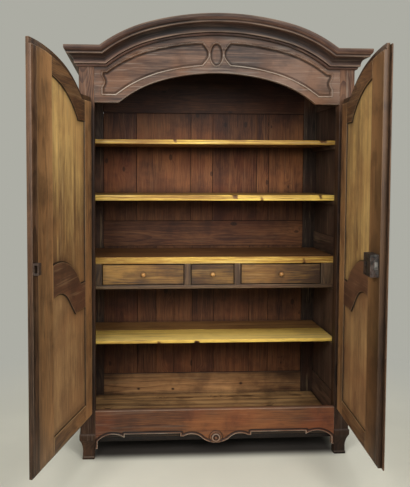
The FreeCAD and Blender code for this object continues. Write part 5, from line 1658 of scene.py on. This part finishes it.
for word, (tone, seed) in drawerSetup["fronts"].items():
    makeDrawer(drawerSetup, word, tone, seed)
print("drawers")

# doors: worked out shut on the right side, then mirrored and swung open

door = {
    "outer": 647 * mm,
    "panelOuter": 547 * mm,
    "panelInner": 171 * mm,
    "meeting": 27 * mm,
    "foot": 250 * mm,
    "lip": 15 * mm,
    "seatGap": 0.3 * mm,  # between a shut door's lip and the carcass
    "tongue": 10 * mm,
    "fit": 3 * mm,
    "headOverlap": 24 * mm,
    "tongueOuter": 632 * mm,
    "tongueFoot": 265 * mm,
    "railHead": 343 * mm,
    "panelFront": -8 * mm,
    "panelBack": 4 * mm,
    "panelFit": 0.2 * mm,
    "arris": 1.6 * mm,
    "eased": [(2.6, 0), (1, 0), (0.3, 0.3), (0, 1)],  # how far in and how deep, in arrises, from a face
}
middleRail = {
    "level": 968 * mm,
    "headFlat": 60 * mm,
    "headRise": 135 * mm,
    "headRadius": 311 * mm,
    "width": 126 * mm,
    "footFlat": 118 * mm,
    "cuspWidth": 4 * mm,
    "cuspDrop": 8 * mm,
    "turnRun": 200 * mm,
    "turnRise": 74 * mm,
    "footRise": 115 * mm,
    "footRadius": 160 * mm,
}
panelHead = {
    "radius": 470 * mm,
    "flatZ": 1760 * mm,
    "stepX": 462 * mm,
    "stepRise": 6.5 * mm,
    "reach": 356 * mm,
}

hinges = {joint["child"]: joint for joint in frame["joints"] if joint["type"] == "hinge"}


def hang(part, side):
    # from shut to standing open: mirrored for the left door, then turned about the hinge's line
    joint = hinges["right_door" if side > 0 else "left_door"]
    angle = math.radians(-joint["range_deg"][0]) * joint["axis"][2]
    points = part["points"] * [side, 1, 1]
    px, py = joint["pos_m"][:2]
    dx, dy = points[..., 0] - px, points[..., 1] - py
    c, s = math.cos(angle), math.sin(angle)
    turned = stacked(px + dx * c - dy * s, py + dx * s + dy * c, points[..., 2])
    return {**part, "points": turned}


def platePart(rings, along, seed, pale, dark):
    # a plate built of outlines of equal count, each drawn in by its inset and lying at its y
    lines = [insetLine(outline, inset) for outline, inset, _ in rings]
    points = np.array([stacked(line[:, 0], y, line[:, 1]) for line, (_, _, y) in zip(lines, rings)])
    across = axisX if along == axisZ else axisZ
    broken = 0.5 + 0.5 * ripple(lines[0][:, 0] + 1.3 * lines[0][:, 1], seed + 40, 0.7)
    wearAndHighlight = np.asarray(pale)[:, None] * broken
    return partOf(points, grainOf(points, along, across, seed), 0.5, wearAndHighlight, np.reshape(dark, (-1, 1)))


def framePart(lipLine, tongueLine, along, seed, lip=None, tones=(0.5, 0.5), dirtAndShade=(0, 0),
              handled=0, edgeDirtAndShade=0.8, glint=0.5):
    # a stile or rail: the lip in front, the tongue behind it, and every arris eased and rubbed pale;
    # tones and the darkening given are those of its foot and its head, handled adds dirt towards the free edge,
    # its narrow sides have a darkening of their own, dirt and painted shade, and glint is how pale the painted
    # highlight on its inner arris is
    arris, lip, tongue = door["arris"], -(lip or door["lip"]), door["tongue"]
    rings = [(lipLine, inset * arris, lip + deep * arris) for inset, deep in door["eased"]]
    if lipLine is not tongueLine:
        seat = -door["seatGap"]
        rings += [(lipLine, 0, seat - 0.1 * mm), (lipLine, 0.1 * mm, seat), (tongueLine, 0, seat + 0.05 * mm)]
    rings += [(tongueLine, inset * arris, tongue - deep * arris) for inset, deep in door["eased"][::-1]]
    pale = [0, 0.4, 0.5, 0.1, *[0] * (len(rings) - 8), 0.2 * glint, glint, 0.8 * glint, 0]
    dark = [0, 0, 0.2, *[edgeDirtAndShade] * (len(rings) - 6), 0.2, 0, 0]
    part = platePart(rings, along, seed, pale, dark)
    x, z = part["points"][..., 0], part["points"][..., 2]
    part["tone"] = np.interp(z, (z.min(), z.max()), tones)
    shadeAndDirt = np.interp(z, (z.min(), z.max()), dirtAndShade) + np.interp(x, (x.min(), x.max()), (handled, 0))
    part["dirtAndShade"] = np.clip(np.maximum(part["dirtAndShade"], shadeAndDirt), 0, 0.95)
    return part


def rectangle(low, high, foot, head):
    # its corners, anticlockwise from the lower left one
    return [(low, foot), (high, foot), (high, head), (low, head)]


def curvedHead(low, high, foot, offset):
    # a rectangle whose head follows the arch at a distance
    heads = [float(openingArch.height(offset, x)) for x in (low, high)]
    arc = openingArch.midRadius + offset
    return [(low, foot), (high, foot), (high, heads[1], arc, -1), (low, heads[0])]


def archedRail(offset):
    # the top rail: over it the line at a distance from the arch, under it the head of the upper panel
    shoulderX, shoulderZ = openingArch.shoulder(offset)
    turnX, turnZ = openingArch.turning(offset)
    inner, outer = door["panelInner"], door["panelOuter"]
    return [
        (outer, shoulderZ),
        (shoulderX, shoulderZ, openingArch.endRadius + offset, -1),
        (turnX, turnZ, openingArch.midRadius + offset, -1),
        (inner, float(openingArch.height(offset, inner))),
        *panelHeadCorners(panelHead, 0),
    ]


def panelHeadCorners(setup, shift):
    # the foot of the top rail, from the free side to the hinge side
    stepZ = setup["flatZ"] + setup["stepRise"]
    centreX = setup["stepX"] - setup["reach"]
    centreZ = stepZ - math.sqrt(setup["radius"] ** 2 - setup["reach"] ** 2)
    endZ = centreZ + math.sqrt(setup["radius"] ** 2 - (door["panelInner"] - centreX) ** 2)
    return [
        (door["panelInner"], endZ + shift, setup["radius"], 1),
        (setup["stepX"], stepZ + shift),
        (setup["stepX"], setup["flatZ"] + shift),
        (door["panelOuter"], setup["flatZ"] + shift),
    ]


def middleRailCorners(setup):
    # straight at the hinge side, and swept up towards the free side
    outer, inner = door["panelOuter"], door["panelInner"]
    foot = setup["level"] - setup["width"]
    footStart = outer - setup["footFlat"]
    return [
        (outer, setup["level"]),
        (outer - setup["headFlat"], setup["level"], setup["headRadius"], -1),
        (inner, setup["level"] + setup["headRise"]),
        (inner, foot + setup["footRise"], setup["footRadius"], 1),
        (outer - setup["turnRun"], foot + setup["turnRise"]),
        (footStart - setup["cuspWidth"], foot - setup["cuspDrop"]),
        (footStart, foot),
        (outer, foot),
    ]


def shifted(corners, rise):
    # the corners moved up by rise, with their arcs
    return [(corner[0], corner[1] + rise, *corner[2:]) for corner in corners]


def sameCount(one, two):
    # both outlines with as many points as the longer one, spread evenly along each edge's share
    count = max(len(one), len(two))

    def spread(line):
        if len(line) == count:
            return line
        closed = np.vstack([line, line[:1]])
        place = np.linspace(0, len(line), count, endpoint=False)
        return np.stack([np.interp(place, np.arange(len(closed)), closed[:, k]) for k in (0, 1)], axis=1)
    return spread(one), spread(two)


def layeredPart(lipCorners, tongueCorners, along, seed, step=12 * mm, **shape):
    # a stile or rail whose lip and tongue have outlines of their own
    lines = [anticlockwise(trace(corners, step)) for corners in (lipCorners, tongueCorners)]
    return framePart(*sameCount(*lines), along, seed, **shape)


fielded = {
    "step": 6 * mm,
    "rowStep": 8 * mm,
    "slope": 51 * mm,  # from the panel's edge to the raised field
    "slopeDepth": 3.2 * mm,
    "fieldStep": 1.5 * mm,
    "arris": 0.4 * mm,
    "streak": (0.16, 0.24),  # height and length of the tone's ripple
    # painted shade along the panel's edges where the frame shades it: strength, and how near
    "edgeDirtAndShade": [(0.9, (7 * mm, 1 * mm)), (0.3, (40 * mm, 5 * mm))],
    "footHeights": (3 * mm, 12 * mm),  # where the foot's own share of the painted shade ends
}


def panelPart(setup, lowLine, highLine, seed, tones, footShade=1.0):
    # a fielded panel: flat towards the inside, and on the outside a field raised inside a slope; tones
    # are those of its foot and head, and the last argument is how much of the painted shade along its edges lies
    # at the foot
    inner, outer = door["panelInner"], door["panelOuter"]
    xs = np.linspace(inner, outer, int((outer - inner) / setup["step"]))
    stepX = [panelHead["stepX"] - 0.1 * mm, panelHead["stepX"] + 0.1 * mm]
    xs = np.unique(np.round(np.concatenate([xs, stepX]), 5))
    low = np.interp(xs, lowLine[:, 0], lowLine[:, 1])
    high = np.interp(xs, highLine[:, 0], highLine[:, 1])
    edge = np.vstack([lowLine, highLine[::-1]])
    thickness = door["panelBack"] - door["panelFront"]
    rows = int((high - low).max() / setup["rowStep"])

    def front(x, z):
        away = distanceTo(edge, x, z, closed=True)
        field = smooth(away, setup["slope"] + 1 * mm, setup["slope"] - 1 * mm) * setup["fieldStep"]
        return field + setup["slopeDepth"] * (1 - np.clip(away / setup["slope"], 0, 1))

    def tone(x, z):
        share = smooth(z, low.min(), high.max())
        strength, length = setup["streak"]
        streak = strength * ripple(x, seed + 5, length)
        return tones[0] + (tones[1] - tones[0]) * share + streak

    def dirtAndShade(x, z):
        away = distanceTo(edge, x, z, closed=True)
        start, end = setup["footHeights"]
        share = footShade + (1 - footShade) * smooth(z, low.min() + start, low.min() + end)
        return sum(strength * smooth(away, *reach) for strength, reach in setup["edgeDirtAndShade"]) * share

    marks = {"tone": tone, "dirtAndShade": dirtAndShade}
    part = slabPart(xs, low, high, rows, front, thickness, setup["arris"], seed, marks, rows, marks)
    part["points"] = part["points"] + [0, door["panelFront"], 0]
    part["grain"] = grainOf(part["points"], axisZ, axisX, seed)
    return part


def ordered(line):
    # its points from left to right
    return line[np.argsort(line[:, 0], kind="stable")]


ovolo = {  # inset from the frame, and height over the lip's face, both in mm
    "section": [(0.3, 0.6), (2.5, 0.6), (3.0, 1.6), (5.0, 1.8), (7.5, 2.8), (9.5, 4.6), (10.6, 7.0)],
    "ends": (0.3, 11.0),  # insets of its two edges on the panel
    "seat": 3 * mm,
}


def ovoloPart(setup, edge, seed):
    # a quarter-round moulding with a fillet, carried round inside the edge of a panel
    lip = -door["lip"] / mm
    face = (door["panelFront"] + setup["seat"]) / mm
    first, last = setup["ends"]
    middle = [(inset, lip + height) for inset, height in setup["section"]]
    profile = np.array([(first, face), *middle, (last, face)]) * mm
    rings = [insetLine(edge, inset) for inset, _ in profile]
    points = np.stack([stacked(ring[:, 0], y, ring[:, 1]) for ring, (_, y) in zip(rings, profile)], axis=1)
    length = lengthAlong(*edge.T)
    grain = stacked(length[:, None] + seed, profile[:, 0], profile[:, 1] + 0.06)
    return partOf(points, grain, 0.45, endless=True)


coverStrip = {
    "edges": (3 * mm, 47 * mm),
    "sideProud": 4 * mm,
    "crownProud": 11 * mm,
    "crownStep": 0.6 * mm,  # from the fillet up to the half round
    "fillet": 5 * mm,
    "eased": 1 * mm,
    "topGap": 6 * mm,
    "endEased": 1.5 * mm,
    "endShare": 0.93,  # size of both ends, as a share of the section
}


def coverStripPart(setup, seed):
    # the half-round moulding over the joint between the doors: a fillet on each side and an arc between
    low, high = setup["edges"]
    face, middle = -door["lip"], (low + high) / 2
    half, rise = (high - low) / 2 - setup["fillet"], setup["crownProud"] - setup["sideProud"]
    side, step, cut = face - setup["sideProud"], setup["crownStep"], setup["eased"]
    turn = np.linspace(-1, 1, 17)
    arc = stacked(middle + half * turn, side - step - (rise - step) * np.cos(turn * math.pi / 2))
    fillet = setup["fillet"] - cut / 2
    section = np.vstack([
        [[low, face], [low, side + cut], [low + cut, side], [low + fillet, side]], arc,
        [[high - fillet, side], [high - cut, side], [high, side + cut], [high, face]],
    ])
    head = float(openingArch.height(door["headOverlap"], high)) - setup["topGap"]
    foot, end = door["foot"], setup["endEased"]
    z = np.concatenate([[foot, foot + end], np.linspace(foot + 0.02, head - 0.02, 50), [head - end, head]])
    tip = np.ones((len(z), 1))
    tip[[0, -1]] = setup["endShare"]
    points = stacked(middle + (section[:, 0] - middle) * tip, face + (section[:, 1] - face) * tip, z[:, None])
    crest = smooth(section[:, 1], face - 8 * mm, face - setup["crownProud"])
    wearAndHighlight = 0.4 * crest * (0.5 + 0.5 * ripple(z, seed, 0.5))[:, None]
    return partOf(points, grainOf(points, axisZ, axisX, seed), 0.5, wearAndHighlight)


rimLock = {  # on the shut right door's inner face
    "low": (35 * mm, 10 * mm, 1070 * mm),
    "high": (125 * mm, 46 * mm, 1166 * mm),
    "rimWidth": 7 * mm,
    "rimProud": 1.2 * mm,
    "rimArris": 0.7 * mm,
    "rimSway": 0.3 * mm,
    "sunk": 0.5 * mm,
    "rivetInset": 12 * mm,
    "rivetRadius": 4 * mm,
    "rivetProud": 3 * mm,
    "keyX": 99 * mm,
    "keyZ": 1118 * mm,
    "bossRadius": 13 * mm,
    "bossProud": 5 * mm,
    "bossTurning": [  # radius and height, as shares
        (1, None), (1, 0.6), (0.93, 0.8), (0.85, 1), (0.5, 1), (0.42, 0.75), (0.4, 0.3), (0, 0.3)],
}


def rivetPart(centre, axis, sign, setup, seed):
    # a low dome with its foot sunk a little into the plate
    dome = np.linspace(0, math.pi / 2, 7)
    lengths = sign * np.concatenate([[-1 * mm], setup["rivetProud"] * np.sin(dome)])
    radii = setup["rivetRadius"] * np.concatenate([[1], np.cos(dome)])
    return turnedPart(centre, axis, lengths, radii, seed, 16)


def lockTrimParts(setup):
    # a raised rim round the broad face, rivets on it and on the edge with the bolt's mouth, and a boss
    # for the key
    low, high = np.array(setup["low"]), np.array(setup["high"])
    width, inset = setup["rimWidth"], setup["rivetInset"]
    base, top = high[1] - setup["sunk"], high[1] + setup["rimProud"]
    strips = [
        ((low[0], base, low[2]), (high[0], top, low[2] + width), axisX, axisZ),
        ((low[0], base, high[2] - width), (high[0], top, high[2]), axisX, axisZ),
        ((low[0], base, low[2] + width), (low[0] + width, top, high[2] - width), axisZ, axisX),
        ((high[0] - width, base, low[2] + width), (high[0], top, high[2] - width), axisZ, axisX),
    ]
    parts = []
    for index, strip in enumerate(strips):
        parts.append(boardPart(*strip, 700 + index, setup["rimArris"], sway=setup["rimSway"]))
    for index, x in enumerate((low[0] + inset, high[0] - inset)):
        for z in (low[2] + inset, high[2] - inset):
            parts.append(rivetPart((x, high[1], z), axisY, 1, setup, 720 + index))
    for z in (low[2] + 1.4 * inset, high[2] - 1.4 * inset):
        parts.append(rivetPart((low[0], (low[1] + high[1]) / 2, z), axisX, -1, setup, 730))
    radii = np.array([radius * setup["bossRadius"] for radius, _ in setup["bossTurning"]])
    lengths = [-1 * mm] + [height * setup["bossProud"] for _, height in setup["bossTurning"][1:]]
    parts.append(turnedPart((setup["keyX"], high[1], setup["keyZ"]), axisY, lengths, radii, 740))
    return parts


doorShades = {  # tones and darkening of each piece at its foot and head; an upper panel's lighter head is painted light from above
    "left": {
        "seed": 2000,
        "free": {"tones": (0.7, 0.95), "dirtAndShade": (0.1, 0), "handled": 0.55},
        "middle": {"tones": (0.5, 0.5)},
        "bottom": {"dirtAndShade": (0.1, 0.1), "glint": 1.5},
        "upperPanel": (0.0, 0.93),
        "lowerPanel": (0.55, 0.5),
    },
    "right": {
        "seed": 1000,
        "free": {"tones": (0.7, 0.95), "dirtAndShade": (0.55, 0.2), "handled": 0.4},
        "middle": {"tones": (0.75, 0.75)},
        "bottom": {"dirtAndShade": (0.4, 0.4), "glint": 1.5},
        "upperPanel": (0.5, 0.85),
        "lowerPanel": (0.45, 0.55),
    },
    "hinge": {"tones": (0.72, 0.48)},
    "top": {"tones": (0.25, 0.25), "dirtAndShade": (0.35, 0.35)},
    "strip": {"lip": 14 * mm, "tones": (0.3, 0.85), "dirtAndShade": (0.45, 0.15), "edgeDirtAndShade": 0.1},
    "stripInner": -24 * mm,
    # share of the painted shade along a lower panel's edges that lies at its foot
    "lowerFootShade": 0.1,
}


def makeDoor(side, word):
    # each frame piece is given by the outline of its lip and that of its tongue
    shades = {**doorShades, **doorShades[word]}
    seed = shades["seed"]
    lipFoot, tongueFoot, spring = door["foot"], door["tongueFoot"], carcass["springHeight"]
    lipRise, tongueRise = door["headOverlap"], -door["fit"]
    inner, outer, meeting = door["panelInner"], door["panelOuter"], door["meeting"]
    fit, step = door["panelFit"], 6 * mm

    def add(label, parts, finish, slot, *nodes):
        hung = [hang(part, side) for part in parts]
        makePiece(word + label, hung, finish, slot, word + "_door", *nodes)

    stile = layeredPart(
        rectangle(outer, door["outer"], lipFoot, spring + lipRise),
        rectangle(outer, door["tongueOuter"], tongueFoot, spring + tongueRise),
        axisZ, seed + 1, **shades["hinge"])
    add("HingeStile", [stile], "doorWood", "door_wood", word + "_hinge_stile")
    stile = layeredPart(
        curvedHead(meeting, inner, lipFoot, lipRise), curvedHead(meeting, inner, tongueFoot, tongueRise),
        axisZ, seed + 2, **shades["free"])
    add("FreeStile", [stile], "doorWood", "door_wood", word + "_free_stile")
    rail = layeredPart(archedRail(lipRise), archedRail(tongueRise), axisX, seed + 3, **shades["top"])
    add("TopRail", [rail], "doorWood", "door_wood", word + "_top_rail")
    corners = middleRailCorners(middleRail)
    line = anticlockwise(trace(corners, 8 * mm))
    rail = framePart(line, line, axisX, seed + 4, **shades["middle"])
    add("MiddleRail", [rail], "doorRailWood", "door_wood", word + "_middle_rail")
    rail = layeredPart(
        rectangle(inner, outer, lipFoot, door["railHead"]),
        rectangle(inner, outer, tongueFoot, door["railHead"]),
        axisX, seed + 5, **shades["bottom"])
    add("BottomRail", [rail], "doorWood", "door_wood", word + "_bottom_rail")
    head = ordered(trace(panelHeadCorners(panelHead, -fit), step, closed=False))
    foot = ordered(trace(shifted(corners[:3], fit), step, closed=False))
    upperEdge = anticlockwise(np.vstack([foot, head[::-1]]))
    panel = panelPart(fielded, foot, head, seed + 6, shades["upperPanel"])
    add("UpperPanel", [panel], "panelWood", "panel_wood", word + "_upper_panel")
    head = ordered(trace(shifted(corners[3:], -fit), step, closed=False))
    foot = np.array([[inner, door["railHead"]], [outer, door["railHead"]]])
    lowerEdge = anticlockwise(np.vstack([foot, head[::-1]]))
    panel = panelPart(fielded, foot, head, seed + 7, shades["lowerPanel"], shades["lowerFootShade"])
    add("LowerPanel", [panel], "lowerPanelWood", "panel_wood", word + "_lower_panel")
    mouldings = [ovoloPart(ovolo, upperEdge, 3), ovoloPart(ovolo, lowerEdge, 9)]
    add("PanelMouldings", mouldings, "doorWood", "door_wood")
    if side < 0:
        strip = layeredPart(
            curvedHead(shades["stripInner"], meeting, lipFoot, lipRise),
            curvedHead(shades["stripInner"], meeting, tongueFoot, tongueRise),
            axisZ, seed + 8, **shades["strip"])
        add("CentreStrip", [strip], "stripWood", "door_wood", "centre_strip")
    else:
        add("CoverStrip", [coverStripPart(coverStrip, seed + 8)], "stripWood", "door_wood", "astragal")
        add("LockTrim", lockTrimParts(rimLock), "forgedIron", "forged_iron")


for side, word in ((-1, "left"), (1, "right")):
    makeDoor(side, word)
print("doors")
